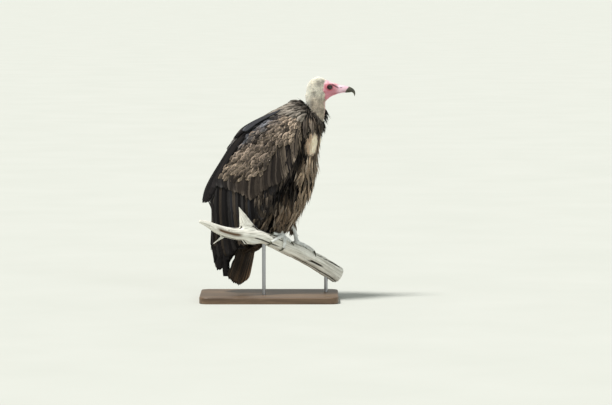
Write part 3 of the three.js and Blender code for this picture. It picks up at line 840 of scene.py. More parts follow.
def ear_size(x, z):
    """Below 1 inside the oval hole of the ear."""
    return np.hypot((x - EAR[0]) / 2.2, (z - EAR[1]) / 3.2)


def lore_line(p, width):
    """The dark fold that runs from the eye's front corner down towards the nostril."""
    x, z = p[:, 0], p[:, 2]
    return hump(z - 10.6 + 0.54 * x, width) * ramp(x, 4, 8) * ramp(x, 27, 20)


def sculpted(p):
    """How far out each point of the head moves, in mm."""
    x, z = p[:, 0], p[:, 2]
    side = face_side(p)
    eye = np.hypot(x / 1.14, z - 0.2)
    rise = -2.6 * ramp(eye, 6.0, 4.6) + 0.95 * hump(eye - 7.6, 1.5) - 0.55 * hump(eye - 10.3, 0.9)
    lower = ramp(z, 4, -4)
    rise += 0.45 * hump(eye - 12.4, 1.1) * lower - 0.35 * hump(eye - 14.3, 0.9) * lower
    rise += 1.5 * (hump(z - 9.0 + 0.16 * x, 2.2) * ramp(x, -12, -4) * ramp(x, 21, 9))
    rise -= 1.1 * lore_line(p, 1.5)
    slit = nostril_size(x, z)
    rise += -1.5 * ramp(slit, 1.0, 0.55) + 0.3 * hump(slit - 1.35, 0.3)
    mouth = z - mouth_height(x)
    rise -= 1.0 * hump(mouth, 0.75) * ramp(x, 0, 3.5)
    rise += 0.4 * (hump(mouth - 2.2, 1.0) + hump(mouth + 2.4, 1.1)) * ramp(x, -1, 5) * ramp(x, 40, 26)
    corner = np.hypot(x - GAPE[0], z - GAPE[1])
    cheek = ramp(x, 4, -3) * ramp(corner, 26, 12)
    rise += 0.34 * np.sin(corner * 1.25 + waves(p, 14, 3)) * cheek
    ear = ear_size(x, z)
    rise += -2.0 * ramp(ear, 1.0, 0.5) + 0.6 * hump(ear - 1.5, 0.4)
    rise *= side
    bare = bare_mask(p)
    throat = ramp(z, -26, -36)
    folds = np.sin(z * 0.95 + 1.6 * waves(p, 22, 5)) * 0.5 + waves(p, 9, 6) * 0.25
    rise += throat * folds * 0.55
    crown = ramp(z, 8, 16) * ramp(np.abs(p[:, 1]), 16, 6)
    rise += waves(p, 5.5, 8) * 0.16 * bare + 0.2 * crown * bare * np.sin(x * 1.5 + waves(p, 12, 9))
    return rise


def horn_line(p):
    """Place along the head, measured square to the slanting edge of the horn."""
    return p[:, 0] - 0.55 * (p[:, 2] + 8) + 0.7 * waves(p, 6, 81)


def bare_mask(p):
    """1 on the bare pink face and the strip down the throat, 0 under the hood of down."""
    x, y, z = p.T
    line = np.interp(z, [-46, -36, -8, 10, 19, 26], [-9, -12, -18, -15, -10, -7])
    line = line + 1.6 * waves(p, 9, 21) + 0.9 * waves(p, 2.5, 23)
    face = ramp(x - line, -2.2, 2.2) * ramp(z, -52, -44)
    neck = ramp(z, -34, -42) * ramp(np.abs(y) + 1.5 * waves(p, 9, 22), 20, 15) * ramp(x, -24, -16)
    return np.maximum(face, neck)


PINK = np.array([0.60, 0.235, 0.285])
RED = np.array([0.50, 0.10, 0.13])
BROW = np.array([0.80, 0.50, 0.56])
CERE = np.array([0.80, 0.54, 0.62])
THROAT = np.array([0.66, 0.47, 0.42])
HOOD = np.array([0.92, 0.88, 0.77])
HOOD_DARK = np.array([0.27, 0.245, 0.20])
HOOD_HIGHLIGHT = np.array([1.0, 1.0, 0.93])
BODY_SKIN = np.array([0.035, 0.028, 0.022])


def blend(share, first, second):
    """Colours mixed by a share for each point."""
    return first + (second - first) * np.asarray(share)[:, None]


def hood_tint(p):
    """Down: a painted highlight on the top of the crown and along the back of the head, darker in blotches
    behind the face and down the neck.
    """
    x, z = p[:, 0], p[:, 2]
    tint = blend(0.5 + 0.5 * waves(p, 26, 31), HOOD, HOOD * 0.82)
    tint = blend(0.5 * ramp(waves(p, 22, 32), -0.2, 1.2) * ramp(z, 26, 10), tint, HOOD_DARK)
    tint = blend(0.4 * ramp(waves(p, 7, 34), 0.3, 1.3) * ramp(z, 26, 12), tint, HOOD_DARK)
    tint = blend(0.45 * hump(np.hypot((x + 24) / 11, (z - 8) / 13), 1.0), tint, HOOD_DARK)
    # Painted highlight: the top of the crown and the back of the head are lightened almost to white.
    tint = blend(0.75 * ramp(z, 16, 26), tint, HOOD_HIGHLIGHT)
    tint = blend(ramp(z, -12, -42), tint, tint * np.array([0.64, 0.59, 0.54]))
    return blend(0.5 * ramp(x, -46, -58), tint, HOOD_HIGHLIGHT)


def head_tint(p):
    """The head's colours: bare pink face, pale cere, red folds, and the skin under the hood."""
    x, z = p[:, 0], p[:, 2]
    tint = np.broadcast_to(PINK, p.shape)
    tint = blend(ramp(z, 5, 12), tint, BROW)
    tint = blend(ramp(x, 12, 30), tint, CERE)
    # Painted highlight: pale, almost white spots on the brow above the eye and above the nostril.
    brow = hump(np.hypot((x - 4) / 9, (z - 12) / 2.6), 1.0)
    brow = brow + hump(np.hypot((x - 30) / 10, (z - 3) / 2.4), 1.0)
    tint = blend(0.7 * np.clip(brow, 0, 1), tint, np.array([1.0, 0.78, 0.84]))
    eye = np.hypot(x / 1.2, z)
    side = face_side(p)
    tint = blend(0.75 * side * ramp(eye, 12.5, 8.5) * ramp(x, 12, 4), tint, RED)
    tint = blend(0.6 * side * ramp(np.hypot(x - EAR[0], z - EAR[1]), 7, 2), tint, RED)
    tint = blend(0.35 * ramp(waves(p, 8, 33), 0.3, 1.3) * ramp(x, 22, 10), tint, RED)
    tint = blend(0.97 * lore_line(p, 2.3) * side, tint, np.array([0.055, 0.016, 0.024]))
    lid = side * ramp(eye, 7.6, 5.8)
    tint = blend(0.94 * lid, tint, np.array([0.03, 0.018, 0.022]))
    mouth = hump(z - mouth_height(x), 0.9) * ramp(x, 0, 4) * side
    tint = blend(0.7 * mouth, tint, np.array([0.22, 0.08, 0.08]))
    # Painted shade: the inside of the nostril slit and of the ear hole is painted near black.
    slit = nostril_size(x, z)
    tint = blend(0.9 * side * ramp(slit, 1.0, 0.6), tint, np.array([0.07, 0.03, 0.03]))
    tint = blend(0.85 * side * ramp(ear_size(x, z), 0.9, 0.5), tint, np.zeros(3))
    tint = blend(ramp(z, -34, -44), tint, THROAT)
    tint = blend(ramp(horn_line(p), 44.4, 46.4), tint, np.array([0.07, 0.066, 0.045]))
    return blend(bare_mask(p), hood_tint(p) * 0.7, tint)


head_local = local(points_of(head_skin), HEAD)
head_out = normals_of(head_skin)
HOOD_DEPTH = 1.6
hood_share = 1 - bare_mask(head_local)
rise = sculpted(head_local) - hood_share * HOOD_DEPTH
set_points(head_skin, points_of(head_skin) + head_out * rise[:, None] * MM)
print("head sculpted by up to", round(float(np.abs(rise).max()), 1), "mm")

# %% [markdown]
# ## The crop
# High on each side of the breast lies a bare oval patch over the crop. The skin bulges there a little,
# and later it carries short cream down in place of breast feathers.

# %% Crop
def crop_size(p):
    """Below 1 inside the bare oval patch on each side of the upper breast, in the bird's frame."""
    return np.hypot((np.abs(p[:, 1]) - 33) / 21, (p[:, 2] - 270) / 29) + 0.12 * waves(p, 14, 47)


p_body = local(points_of(body_skin), BIRD)
bulge = 5.0 * ramp(crop_size(p_body), 1.15, 0.2) * ramp(p_body[:, 0], 30, 50) * (body_label == 0)
set_points(body_skin, points_of(body_skin) + normals_of(body_skin) * (bulge * MM)[:, None])
print("crop stands out by", round(float(bulge.max()), 1), "mm")

# %% One skin
skin_points, skin_faces = joined(
    [(points_of(head_skin), triangles_of(head_skin)), (points_of(body_skin), triangles_of(body_skin))]
)
skin_mesh = new_mesh("skin", skin_points, skin_faces)
head_count = len(head_skin.vertices)
skin_tint = np.tile(BODY_SKIN, (len(skin_mesh.vertices), 1))
skin_tint[:head_count] = head_tint(local(points_of(head_skin), HEAD))
set_attribute(skin_mesh, "tint", skin_tint, "FLOAT_COLOR")
set_attribute(skin_mesh, "fold_place", points_of(skin_mesh), "FLOAT_VECTOR")
skin = new_piece("skin", skin_mesh, SKIN)
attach(skin, "root")
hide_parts("trunk", "neck", "head", "jaw", "thigh_right", "thigh_left")
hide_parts("wing_coverts_right", "wing_coverts_left")
print("skin:", len(skin_mesh.polygons), "triangles")

# %% [markdown]
# ## Feather shapes
# One vane is a thin closed solid, folded slightly along its shaft like a shallow roof. Its table gives
# the half width of each side at places along it, so a feather can be round, lance shaped or frayed.
# Two numbers are stored on it, along and side, and the shaders draw shafts and fringes from those.

# %% Feather templates
def vane_template(name, rows, thick=0.022, roof=0.09, droop=0.05):
    """A unit feather: root at 0, tip at 1 along Y, up to 0.5 out in X. Rows: along, left, right."""
    rows = np.array(rows, float)
    t, left, right = rows.T
    middle = -droop * t**2
    body = np.sqrt(np.clip(1 - t, 0.02, 1))
    sections = [
        np.stack([-left / 2, t, middle - roof * left * 0.5], -1),
        np.stack([0 * t, t, middle + thick * body], -1),
        np.stack([right / 2, t, middle - roof * right * 0.5], -1),
        np.stack([0 * t, t, middle - thick * 0.4 * body], -1),
    ]
    points = np.stack(sections, 1).reshape(-1, 3)
    faces = ring_faces(len(rows), 4)
    caps = np.array([[0, 3, 2, 1], [4 * len(rows) - 4 + k for k in (0, 1, 2, 3)]])
    mesh = new_mesh(name, points, np.concatenate([faces, caps]))
    set_attribute(mesh, "along", np.repeat(t, 4))
    set_attribute(mesh, "side", np.tile([-1.0, 0.0, 1.0, 0.0], len(rows)))
    piece = new_piece(name, mesh)
    piece.hide_render = True
    return piece


def frayed_rows(widest, end, seed, depth):
    """Rows of a vane that swells to its widest place and ends in a ragged tip."""
    own = np.random.default_rng(seed)
    t = np.r_[0, 0.12, 0.26, 0.4, 0.52, 0.62, 0.71, 0.79, 0.86, 0.93, 1]
    swell = ramp(t, -0.05, widest) * (1 - (1 - end) * ramp(t, widest, 1.02) ** 1.4)
    sides = []
    for _ in range(2):
        nick = 1 - depth * own.uniform(0, 1, len(t)) * (t > 0.3)
        sides.append(np.clip(swell * nick, 0.03, 1))
    return np.c_[t, sides[0], sides[1]]


def strand_template(name, curl):
    """One thin filament of down with three sides."""
    t = np.array([0, 0.35, 0.7, 1.0])
    size = np.array([0.5, 0.42, 0.3, 0.05])
    angle = np.array([0, 2, 4]) * math.pi / 3
    x = size[:, None] * np.cos(angle)
    z = size[:, None] * np.sin(angle) + (-curl * t**2)[:, None]
    points = np.stack([x, t[:, None] + 0 * x, z], -1).reshape(-1, 3)
    faces = ring_faces(4, 3)
    mesh = new_mesh(name, points, faces[:, ::-1])
    set_attribute(mesh, "along", np.repeat(t, 3))
    set_attribute(mesh, "side", np.tile([-1.0, 1.0, 0.0], 4))
    piece = new_piece(name, mesh)
    piece.hide_render = True
    return piece


ROUND = [vane_template(f"round vane {k}", frayed_rows(0.62, 0.3, k, 0.16 + 0.1 * k)) for k in range(4)]
LANCE = [vane_template(f"lance vane {k}", frayed_rows(0.45, 0.02, 9 + k, 0.2 + 0.14 * k)) for k in range(4)]
TUFT = [strand_template(f"strand {k}", curl) for k, curl in enumerate((0.2, 0.9, -0.5))]
print("templates:", [t.name for t in ROUND + LANCE + TUFT])

# %% [markdown]
# ## Two Geometry Nodes trees
# The first scatters roots over a patch of skin, no two closer than a spacing. The second puts a
# feather on each root, turns it to the root's own lie, makes it real, bends it down onto the body and
# writes the map for baking. Both take named inputs, so each patch of plumage is only a few numbers.

# %% Geometry Nodes trees
def new_tree(name, **inputs):
    """An empty geometry tree with a Geometry input, more named inputs, and its group nodes."""
    tree = bpy.data.node_groups.new(name, "GeometryNodeTree")
    tree.interface.new_socket("Geometry", in_out="INPUT", socket_type="NodeSocketGeometry")
    for key, kind in inputs.items():
        tree.interface.new_socket(key, in_out="INPUT", socket_type="NodeSocket" + kind)
    tree.interface.new_socket("Geometry", in_out="OUTPUT", socket_type="NodeSocketGeometry")
    source = tree.nodes.new("NodeGroupInput")
    return tree, source.outputs, tree.nodes.new("NodeGroupOutput").inputs[0]


def run_tree(piece, tree, **values):
    """The mesh that a tree makes from a piece. The piece is removed."""
    modifier = piece.modifiers.new("nodes", "NODES")
    modifier.node_group = tree
    for item in tree.interface.items_tree:
        if item.name in values and item.in_out == "INPUT":
            modifier[item.identifier] = values[item.name]
    return result_of(piece)


def scatter_tree():
    tree, given, result = new_tree("scatter roots", Spacing="Float", Density="Float", Seed="Int")
    inputs = {"Mesh": given["Geometry"], "Distance Min": given["Spacing"], "Seed": given["Seed"]}
    inputs["Density Max"] = given["Density"]
    kind = "GeometryNodeDistributePointsOnFaces"
    spots = add_node(tree, kind, inputs, distribute_method="POISSON")
    points = add_node(tree, "GeometryNodePointsToVertices", {"Points": spots.outputs["Points"]})
    tree.links.new(points.outputs[0], result)
    return tree


def coat_tree():
    tree, given, result = new_tree("feather coat", Feather="Object", Finish="Material")

    def stored(name, kind="FLOAT"):
        node = add_node(tree, "GeometryNodeInputNamedAttribute", {"Name": name}, data_type=kind)
        return node.outputs["Attribute"]

    def vector_op(kind, *values):
        return add_node(tree, "ShaderNodeVectorMath", dict(enumerate(values)), operation=kind).outputs[0]

    shape = add_node(tree, "GeometryNodeObjectInfo", {"Object": given["Feather"]}).outputs["Geometry"]
    axes = {"Primary Axis": stored("up", "FLOAT_VECTOR"), "Secondary Axis": stored("lie", "FLOAT_VECTOR")}
    kind = "FunctionNodeAxesToRotation"
    turn = add_node(tree, kind, axes, primary_axis="Z", secondary_axis="Y").outputs[0]
    wide, long = stored("wide"), stored("long")
    size = add_node(tree, "ShaderNodeCombineXYZ", {0: wide, 1: long, 2: wide}).outputs[0]
    inputs = {"Points": given["Geometry"], "Instance": shape, "Rotation": turn, "Scale": size}
    many = add_node(tree, "GeometryNodeInstanceOnPoints", inputs).outputs[0]
    real = add_node(tree, "GeometryNodeRealizeInstances", {"Geometry": many}).outputs[0]
    along = Maths(tree, stored("along"))
    amount = along * along * Maths(tree, stored("bend"))
    push = add_node(tree, "ShaderNodeVectorMath", {0: stored("up", "FLOAT_VECTOR")}, operation="SCALE")
    tree.links.new(amount.socket, push.inputs["Scale"])
    inputs = {"Geometry": real, "Offset": push.outputs[0]}
    bent = add_node(tree, "GeometryNodeSetPosition", inputs).outputs[0]
    spot = add_node(tree, "ShaderNodeCombineXYZ", {0: stored("side"), 1: along}).outputs[0]
    patch = vector_op("MULTIPLY", spot, (0.0014, 0.0028, 0))
    place = vector_op("ADD", patch, stored("root_map", "FLOAT_VECTOR"))
    inputs = {"Geometry": bent, "Name": "OFBake", "Value": place}
    kind = "GeometryNodeStoreNamedAttribute"
    mapped = add_node(tree, kind, inputs, data_type="FLOAT2", domain="CORNER").outputs[0]
    inputs = {"Geometry": mapped, "Material": given["Finish"]}
    tree.links.new(add_node(tree, "GeometryNodeSetMaterial", inputs).outputs[0], result)
    return tree


SCATTER, COAT = scatter_tree(), coat_tree()
print("trees:", SCATTER.name, COAT.name)

# %% [markdown]
# ## Growing a coat
# Each patch of plumage says where it grows, how its feathers lie, how long and wide they are and what
# colour. A feather's tip is dropped onto the skin ahead of it, so that the coat follows hollows and
# bulges. The map of the roots unrolls the skin like a label from a bottle: round it, and up it.

# %% Growing functions
skin_tree = BVHTree.FromPolygons(points_of(skin_mesh).tolist(), triangles_of(skin_mesh).tolist())
rng = np.random.default_rng(11)


def root_map(points):
    """A root's place on the unrolled skin: body below, head and neck above."""
    p, h = local(points, BIRD), local(points, HEAD)
    body = np.arctan2(p[:, 1], p[:, 0] + 70 * ramp(p[:, 2], 120, 0)) / (2 * math.pi) + 0.5
    head = np.arctan2(h[:, 1], h[:, 2] + 12) / (2 * math.pi) + 0.5
    on_head = p[:, 2] > 372
    u = np.where(on_head, head, body)
    v = np.where(on_head, 0.82 + 0.16 * (h[:, 0] + 66) / 115, 0.02 + 0.78 * (p[:, 2] + 130) / 520)
    return np.stack([0.01 + 0.975 * np.clip(u, 0, 1), np.clip(v, 0.01, 0.985), 0 * u], -1)


def roots_on(mesh, wanted, spacing, seed):
    """Root points, in metres, and their normals, scattered where wanted is true at a point."""
    faces = triangles_of(mesh)
    faces = faces[wanted[faces].all(1)]
    patch = new_piece("patch", new_mesh("patch", points_of(mesh), faces))
    density = 2.2 / (spacing * MM) ** 2
    spots = points_of(run_tree(patch, SCATTER, Spacing=spacing * MM, Density=density, Seed=seed))
    found = [skin_tree.find_nearest(Vector(p)) for p in spots]
    return np.array([f[0] for f in found]), np.array([f[1] for f in found])


def smooth_normals(mesh, points):
    """Normals at points, taken from the nearest points of a smooth mesh."""
    normals = normals_of(mesh)
    faces = triangles_of(mesh)
    tree = BVHTree.FromPolygons(points_of(mesh).tolist(), faces.tolist())
    found = [tree.find_nearest(Vector(p))[2] for p in points]
    return unit(normals[faces[found]].mean(1))


def grow(points, up, lie, long, wide, lift, tint, fringe, shapes, jitter=0.12, tone=0.5, finish=VANE):
    """Feathers on roots. Lengths are mm, lift is degrees. Returns meshes ready to join."""
    count = len(points)
    lie = unit(lie + rng.normal(0, jitter, (count, 3)))
    lie = unit(lie - (lie * up).sum(1, keepdims=True) * up)
    long = np.broadcast_to(long, count) * rng.uniform(0.84, 1.14, count)
    wide = np.broadcast_to(wide, count) * rng.uniform(0.86, 1.12, count)
    ends = points + lie * (long * MM)[:, None]
    found = [skin_tree.find_nearest(Vector(p))[0] for p in ends]
    bend = ((np.array(found) - ends) * up).sum(1)
    bend = np.clip(bend, -0.55 * long * MM, 0.4 * long * MM)
    angle = np.radians(np.broadcast_to(lift, count) * rng.uniform(0.6, 1.3, count))[:, None]
    ahead = lie * np.cos(angle) + up * np.sin(angle)
    above = up * np.cos(angle) - lie * np.sin(angle)
    roll = rng.normal(0, 0.12, (count, 1))
    above = unit(above + np.cross(ahead, above) * roll)
    kinds = rng.integers(0, len(shapes), count)
    tone = 0.5 + (rng.beta(2, 2, count) - 0.5) * 2 * tone
    stored = {
        "up": (above, "FLOAT_VECTOR"),
        "lie": (ahead, "FLOAT_VECTOR"),
        "tint": (np.broadcast_to(tint, (count, 3)), "FLOAT_COLOR"),
        "root_map": (root_map(points), "FLOAT_VECTOR"),
        "long": (long * MM, "FLOAT"),
        "wide": (wide * MM, "FLOAT"),
        "bend": (bend, "FLOAT"),
        "fringe": (np.broadcast_to(fringe, count), "FLOAT"),
        "fleck": (tone, "FLOAT"),
    }
    made = []
    for kind, shape in enumerate(shapes):
        own = kinds == kind
        if not own.any():
            continue
        mesh = bpy.data.meshes.new("roots")
        mesh.vertices.add(int(own.sum()))
        mesh.vertices.foreach_set("co", points[own].astype(np.float32).ravel())
        for name, (values, sort) in stored.items():
            set_attribute(mesh, name, np.asarray(values)[own], sort)
        made.append(run_tree(new_piece("roots", mesh), COAT, Feather=shape, Finish=finish))
    return made


def coat_piece(name, meshes, slot, *nodes):
    """Joins grown meshes into one piece, and leaves only what the shader and the map need."""
    pieces = [new_piece(name, mesh) for mesh in meshes]
    with bpy.context.temp_override(active_object=pieces[0], selected_editable_objects=pieces):
        bpy.ops.object.join()
    piece = pieces[0]
    for spare in ("up", "lie", "long", "wide", "bend", "root_map"):
        if spare in piece.data.attributes:
            piece.data.attributes.remove(piece.data.attributes[spare])
    piece.data.polygons.foreach_set("use_smooth", np.ones(len(piece.data.polygons), bool))
    declare(piece, slot, *nodes)
    print(name + ":", len(triangles_of(piece.data)), "triangles")
    return piece


# %% [markdown]
# ## Down on the head and neck
# The hood is short, woolly down. Its tufts lie back over the crown and down the neck, get shorter at the
# edge of the face and leave the face itself bare.

# %% Hood of down
head_local = local(points_of(head_skin), HEAD)
bare_head = bare_mask(head_local)
neck_end = local(points_of(head_skin), BIRD)[:, 2]
in_hood = (bare_head < 0.5) & (neck_end > 322)
for name, part, spacing, seed in (
    ("hood_down_crown", head_local[:, 2] > -16, 0.74, 3),
    ("hood_down_neck", head_local[:, 2] <= -16, 0.78, 4),
):
    spots, up = roots_on(head_skin, in_hood & part, spacing, seed)
    up = smooth_normals(head_skin, spots)
    p = local(spots, HEAD)
    back = ramp(p[:, 2], -20, 12)[:, None]
    flow = turned(np.array([-0.9, 0, -0.25]) * back + np.array([-0.25, 0, -1.0]) * (1 - back), HEAD)
    whirl = waves(p, 9, 35)[:, None] * np.cross(flow, up) * 0.5
    near_face = ramp(bare_mask(p), 0.0, 0.4)
    hood_long = 5.2 - 2.4 * near_face + 2.0 * ramp(p[:, 2], -30, -60)
    hood = grow(spots, up, flow + whirl, hood_long, 0.62, 24, hood_tint(p), 0.0, TUFT,
                jitter=0.45, tone=0.6, finish=DOWN)
    coat_piece(name, hood, "down")

# %% [markdown]
# ## Small feathers of the body
# The body is split into patches by the CAD node under each point and by height. Each patch has its own
# flow: down the breast, back along the mantle, and turning from steep to slanting across the wing.

# %% Patches of the body
p_body = local(points_of(body_skin), BIRD)
x_body, y_body, z_body = p_body.T
# The upper edge of the folded wing: places forwards, and heights.
WING_TOP = ([-101, -54, -28, -7, 20, 37, 48], [316, 342, 352, 358, 354, 343, 322])
# Its front edge: heights, and places forwards.
WING_FRONT = ([56, 130, 150, 160, 183, 206, 232, 276, 344], [-40, -34, -26, -12, 11, 26, 35, 46, 44])
# Where the roots of the small coverts end below: places forwards, and heights.
COVERT_END = ([-200, -176, -124, -91, -70, -45, -24, -10, 45], [188, 186, 176, 178, 196, 216, 252, 276, 300])
# How far back the small coverts reach: heights, and places forwards.
COVERT_REAR = ([158, 181, 216, 239, 262, 285, 308, 331], [-177, -175, -155, -145, -137, -122, -86, -60])
mantle_line = np.interp(x_body, [-175, -138, -99, -58, -16, 30, 60], [246, 274, 300, 326, 344, 342, 346])
wing_top = np.interp(x_body, *WING_TOP)
on_trunk = body_label == 0
on_shoulder = on_trunk & (np.abs(y_body) > 42) & (z_body < wing_top) & (z_body > 296) & (x_body < 48)
on_mantle = on_trunk & (z_body > mantle_line) & ~on_shoulder
on_thigh = body_label >= 7
under_tail = on_trunk & (z_body < 60) & (x_body < -30)
on_breast = on_trunk & ~on_mantle & ~under_tail & (x_body > -60) & ~on_shoulder

MANTLE = np.array([0.46, 0.405, 0.345])
COLLAR = np.array([0.026, 0.021, 0.018])
SLATE = np.array([0.160, 0.165, 0.188])
BROWN = np.array([0.250, 0.198, 0.158])
BUFF = np.array([0.270, 0.214, 0.164])
BREAST = np.array([0.370, 0.275, 0.195])
CREAM = np.array([1.0, 0.93, 0.77])
STREAK = np.array([0.56, 0.46, 0.37])
THIGH = np.array([0.225, 0.160, 0.110])
VENT = np.array([0.075, 0.054, 0.038])
FLIGHT = np.array([0.021, 0.0195, 0.019])
INKY = np.array([0.009, 0.008, 0.008])
TAIL = np.array([0.045, 0.036, 0.027])
RUFOUS = np.array([0.115, 0.072, 0.042])


def back_distance(p):
    """How far a point lies under the sloping line of the back, in mm."""
    return 0.72 * (p[:, 0] - 30) - 0.694 * (p[:, 2] - 390)


def patch(mask, spacing, seed):
    """Roots, smooth normals and bird places of a patch of the body's skin."""
    spots, _ = roots_on(body_skin, mask, spacing, seed)
    return spots, smooth_normals(body_skin, spots), local(spots, BIRD)


def covert_gap(p):
    """Height above the end of the small coverts, in mm."""
    return p[:, 2] - np.interp(p[:, 0], *COVERT_END)


def wing_front(z):
    """Where the folded wing's front edge lies at a height."""
    return np.interp(z, *WING_FRONT)


def wing_shade(p):
    """1 in the dark hollow between the wing's front edge and the breast."""
    far = np.interp(p[:, 2], [118, 135, 150, 186, 206, 232, 262, 292], [-28, 4, 30, 32, 33, 37, 55, 46])
    near = wing_front(p[:, 2])
    return ramp(p[:, 0], near - 6, near + 1) * ramp(p[:, 0], far + 5, far - 4) * ramp(p[:, 2], 112, 130)


def wing_flow(p):
    """Steep near the wing's front edge, slanting near the back."""
    angle = np.radians(50 - 46 * ramp(back_distance(p), 0, 120))
    return turned(np.stack([-np.sin(angle), 0 * angle, -np.cos(angle)], -1), BIRD)


def steady_flow(p, *direction):
    """One direction of the bird's frame for every point."""
    return turned(np.tile(direction, (len(p), 1)), BIRD)


def breast_flow(p):
    sign = np.sign(p[:, 1])
    slope = ramp(p[:, 2], 150, 20)
    return turned(np.stack([-0.1 - 0.35 * slope, 0.16 * sign, -1 + 0 * sign], -1), BIRD)


def mantle_flow(p):
    spread = 0.22 * np.sign(p[:, 1]) * ramp(np.abs(p[:, 1]), 0, 40)
    return turned(np.stack([-0.75 + 0 * spread, spread, -0.66 + 0 * spread], -1), BIRD)


def neck_gap(p):
    """Level distance from the middle of the neck, in mm."""
    return np.hypot(p[:, 0] - 68, p[:, 1] - 8)


def mantle_tint(p):
    tint = blend(ramp(p[:, 0], 20, -40), MANTLE * 0.74, MANTLE * 1.1)
    tint = blend(0.5 * ramp(np.abs(p[:, 1]), 52, 76), tint, SLATE)
    tint = blend(0.5 * ramp(waves(p, 34, 40), 0.2, 1.4), tint, MANTLE * 0.45)
    tint = blend(0.8 * ramp(p[:, 2], 330, 285), tint, SLATE * 0.7)
    return blend(0.9 * ramp(neck_gap(p), 58, 34), tint, COLLAR)


def under_slate(p):
    """How far a point lies under the slate band along the wing's upper edge, in mm."""
    return (362 + 0.7 * p[:, 0] - p[:, 2]) / 1.22


def covert_tint(p):
    """Slate under the mantle, brown on the wing's middle, buff low down and at the shoulder, and painted
    shade in the hollow by the breast.
    """
    tint = blend(ramp(under_slate(p) + 6 * waves(p, 24, 48), -6, 26), SLATE * 1.1, BROWN)
    tint = blend(ramp(p[:, 2], 270, 190) * ramp(p[:, 0], 15, -45), tint, BUFF)
    tint = blend(0.8 * ramp(p[:, 0], -20, 25) * ramp(p[:, 2], 260, 300), tint, BUFF * 1.7)
    tint = blend(0.55 * ramp(waves(p, 30, 41), 0.25, 1.2), tint, INKY * 5)
    tint = blend(0.4 * ramp(covert_gap(p), 44, 6), tint, tint * 0.45)
    under_top = np.interp(p[:, 0], *WING_TOP) - p[:, 2]
    tint = blend(0.8 * ramp(under_top, 16, 4) * ramp(p[:, 0], 30, 5), tint, INKY * 3)
    # Painted shade: near black in the hollow between the wing's front edge and the breast.
    return blend(0.95 * wing_shade(p), tint, INKY * 0.4)


def breast_tint(p):
    tint = blend(ramp(p[:, 2], 130, 60), BREAST, THIGH)
    tint = blend(0.7 * ramp(waves(p, 40, 43), 0.0, 1.2), tint, BUFF)
    tint = blend(0.6 * ramp(waves(p, 26, 44), 0.5, 1.4), tint, INKY * 2)
    streak = ramp(rng.uniform(0, 1, len(p)), 0.5, 0.9) * ramp(np.abs(p[:, 1]), 84, 60)
    tint = blend(0.8 * streak, tint, STREAK)
    # Painted shade: near black in the hollow in front of the wing and on breast feathers tucked behind its
    # front edge.
    shade_behind_edge = ramp(p[:, 0] - wing_front(p[:, 2]), 6, -4) * ramp(p[:, 2], 112, 130)
    shade = np.maximum(wing_shade(p), wing_shade(p - np.array([3, 0, 30.0])))
    tint = blend(0.98 * np.maximum(shade, shade_behind_edge), tint, INKY * 0.4)
    tint = blend(0.75 * ramp(p[:, 2], 292, 312) * ramp(p[:, 2], 345, 325), tint, MANTLE * 0.42)
    return blend(0.7 * ramp(p[:, 2], 318, 340), tint, COLLAR)


on_crop = on_breast & (crop_size(p_body) < 1.0) & (x_body > 30)
print("patches:", int(on_mantle.sum()), int(on_breast.sum()), int(on_crop.sum()), "points")

# The skin carries the same markings as the feathers over it, darkened to a fifth as painted shade under the
# coat.
SKIN_SHADE_SHARE = 0.2
on_wing = (body_label > 0) & (body_label < 5)
marks = np.tile(BODY_SKIN, (len(p_body), 1))
zones = ((on_mantle, mantle_tint), (on_breast, breast_tint), (on_wing | on_shoulder, covert_tint))
for zone, colour in zones:
    marks[zone] = SKIN_SHADE_SHARE * colour(p_body[zone])
marks[on_thigh] = SKIN_SHADE_SHARE * THIGH
marks = blend(ramp(crop_size(p_body), 1.05, 0.85) * on_breast * (x_body > 30), marks, CREAM * 0.55)
skin_tint[head_count:] = marks
set_attribute(skin.data, "tint", skin_tint, "FLOAT_COLOR")
print("markings on the skin:", len(marks), "points")

# %% Mantle
spots, up, p = patch(on_mantle, 5.8, 21)
near_neck = ramp(neck_gap(p), 62, 34)
length = 34 - 11 * near_neck
mantle = grow(spots, up, mantle_flow(p), length, length * 0.42, 6 + 6 * near_neck, mantle_tint(p),
              0.5 * (1 - near_neck), ROUND, jitter=0.18, tone=0.65)
coat_piece("mantle_feathers", mantle, "plumage")

# %% Breast and crop
spots, up, p = patch(on_breast & ~on_crop, 6.2, 22)
low = ramp(p[:, 2], 200, 60)
above_crop = ramp(crop_size(p - np.array([0, 0, 26.0])), 1.25, 0.9) * ramp(p[:, 0], 25, 40)
length = (46 + 12 * low) * (1 - 0.72 * above_crop)
lift = 9 + 6 * low + 4 * ramp(waves(p, 50, 46), 0, 1)
breast = grow(spots, up, breast_flow(p), length, 10.5 + 3 * low, lift, breast_tint(p),
              0.9, LANCE, jitter=0.17, tone=1.3)
loose = on_breast & ~on_crop & (z_body < 262) & (x_body > wing_front(z_body) + 12 + 24 * (z_body < 225))
spots, up, p = patch(loose, 15.0, 27)
tufts = grow(spots, up, breast_flow(p), 54, 12.5, 17, breast_tint(p), 0.8, LANCE, jitter=0.2, tone=1.3)
coat_piece("breast_feathers", breast + tufts, "plumage")

spots, up, p = patch(on_crop, 1.6, 23)
# The cream turns brown towards the patch's edge, with painted shade further out to the side and a random tone
# for each tuft.
shade = 0.95 * ramp(np.abs(p[:, 1]), 36, 54) + 0.6 * ramp(crop_size(p), 0.6, 1.0)
shade = shade + 0.3 * rng.uniform(0, 1, len(p))
cream = blend(np.clip(shade, 0, 1), CREAM, BREAST * 1.8)
crop = grow(spots, up, breast_flow(p), 11, 1.5, 20, cream, 0.0, TUFT, jitter=0.3, tone=0.5,
            finish=DOWN)
coat_piece("crop_down", crop, "down")

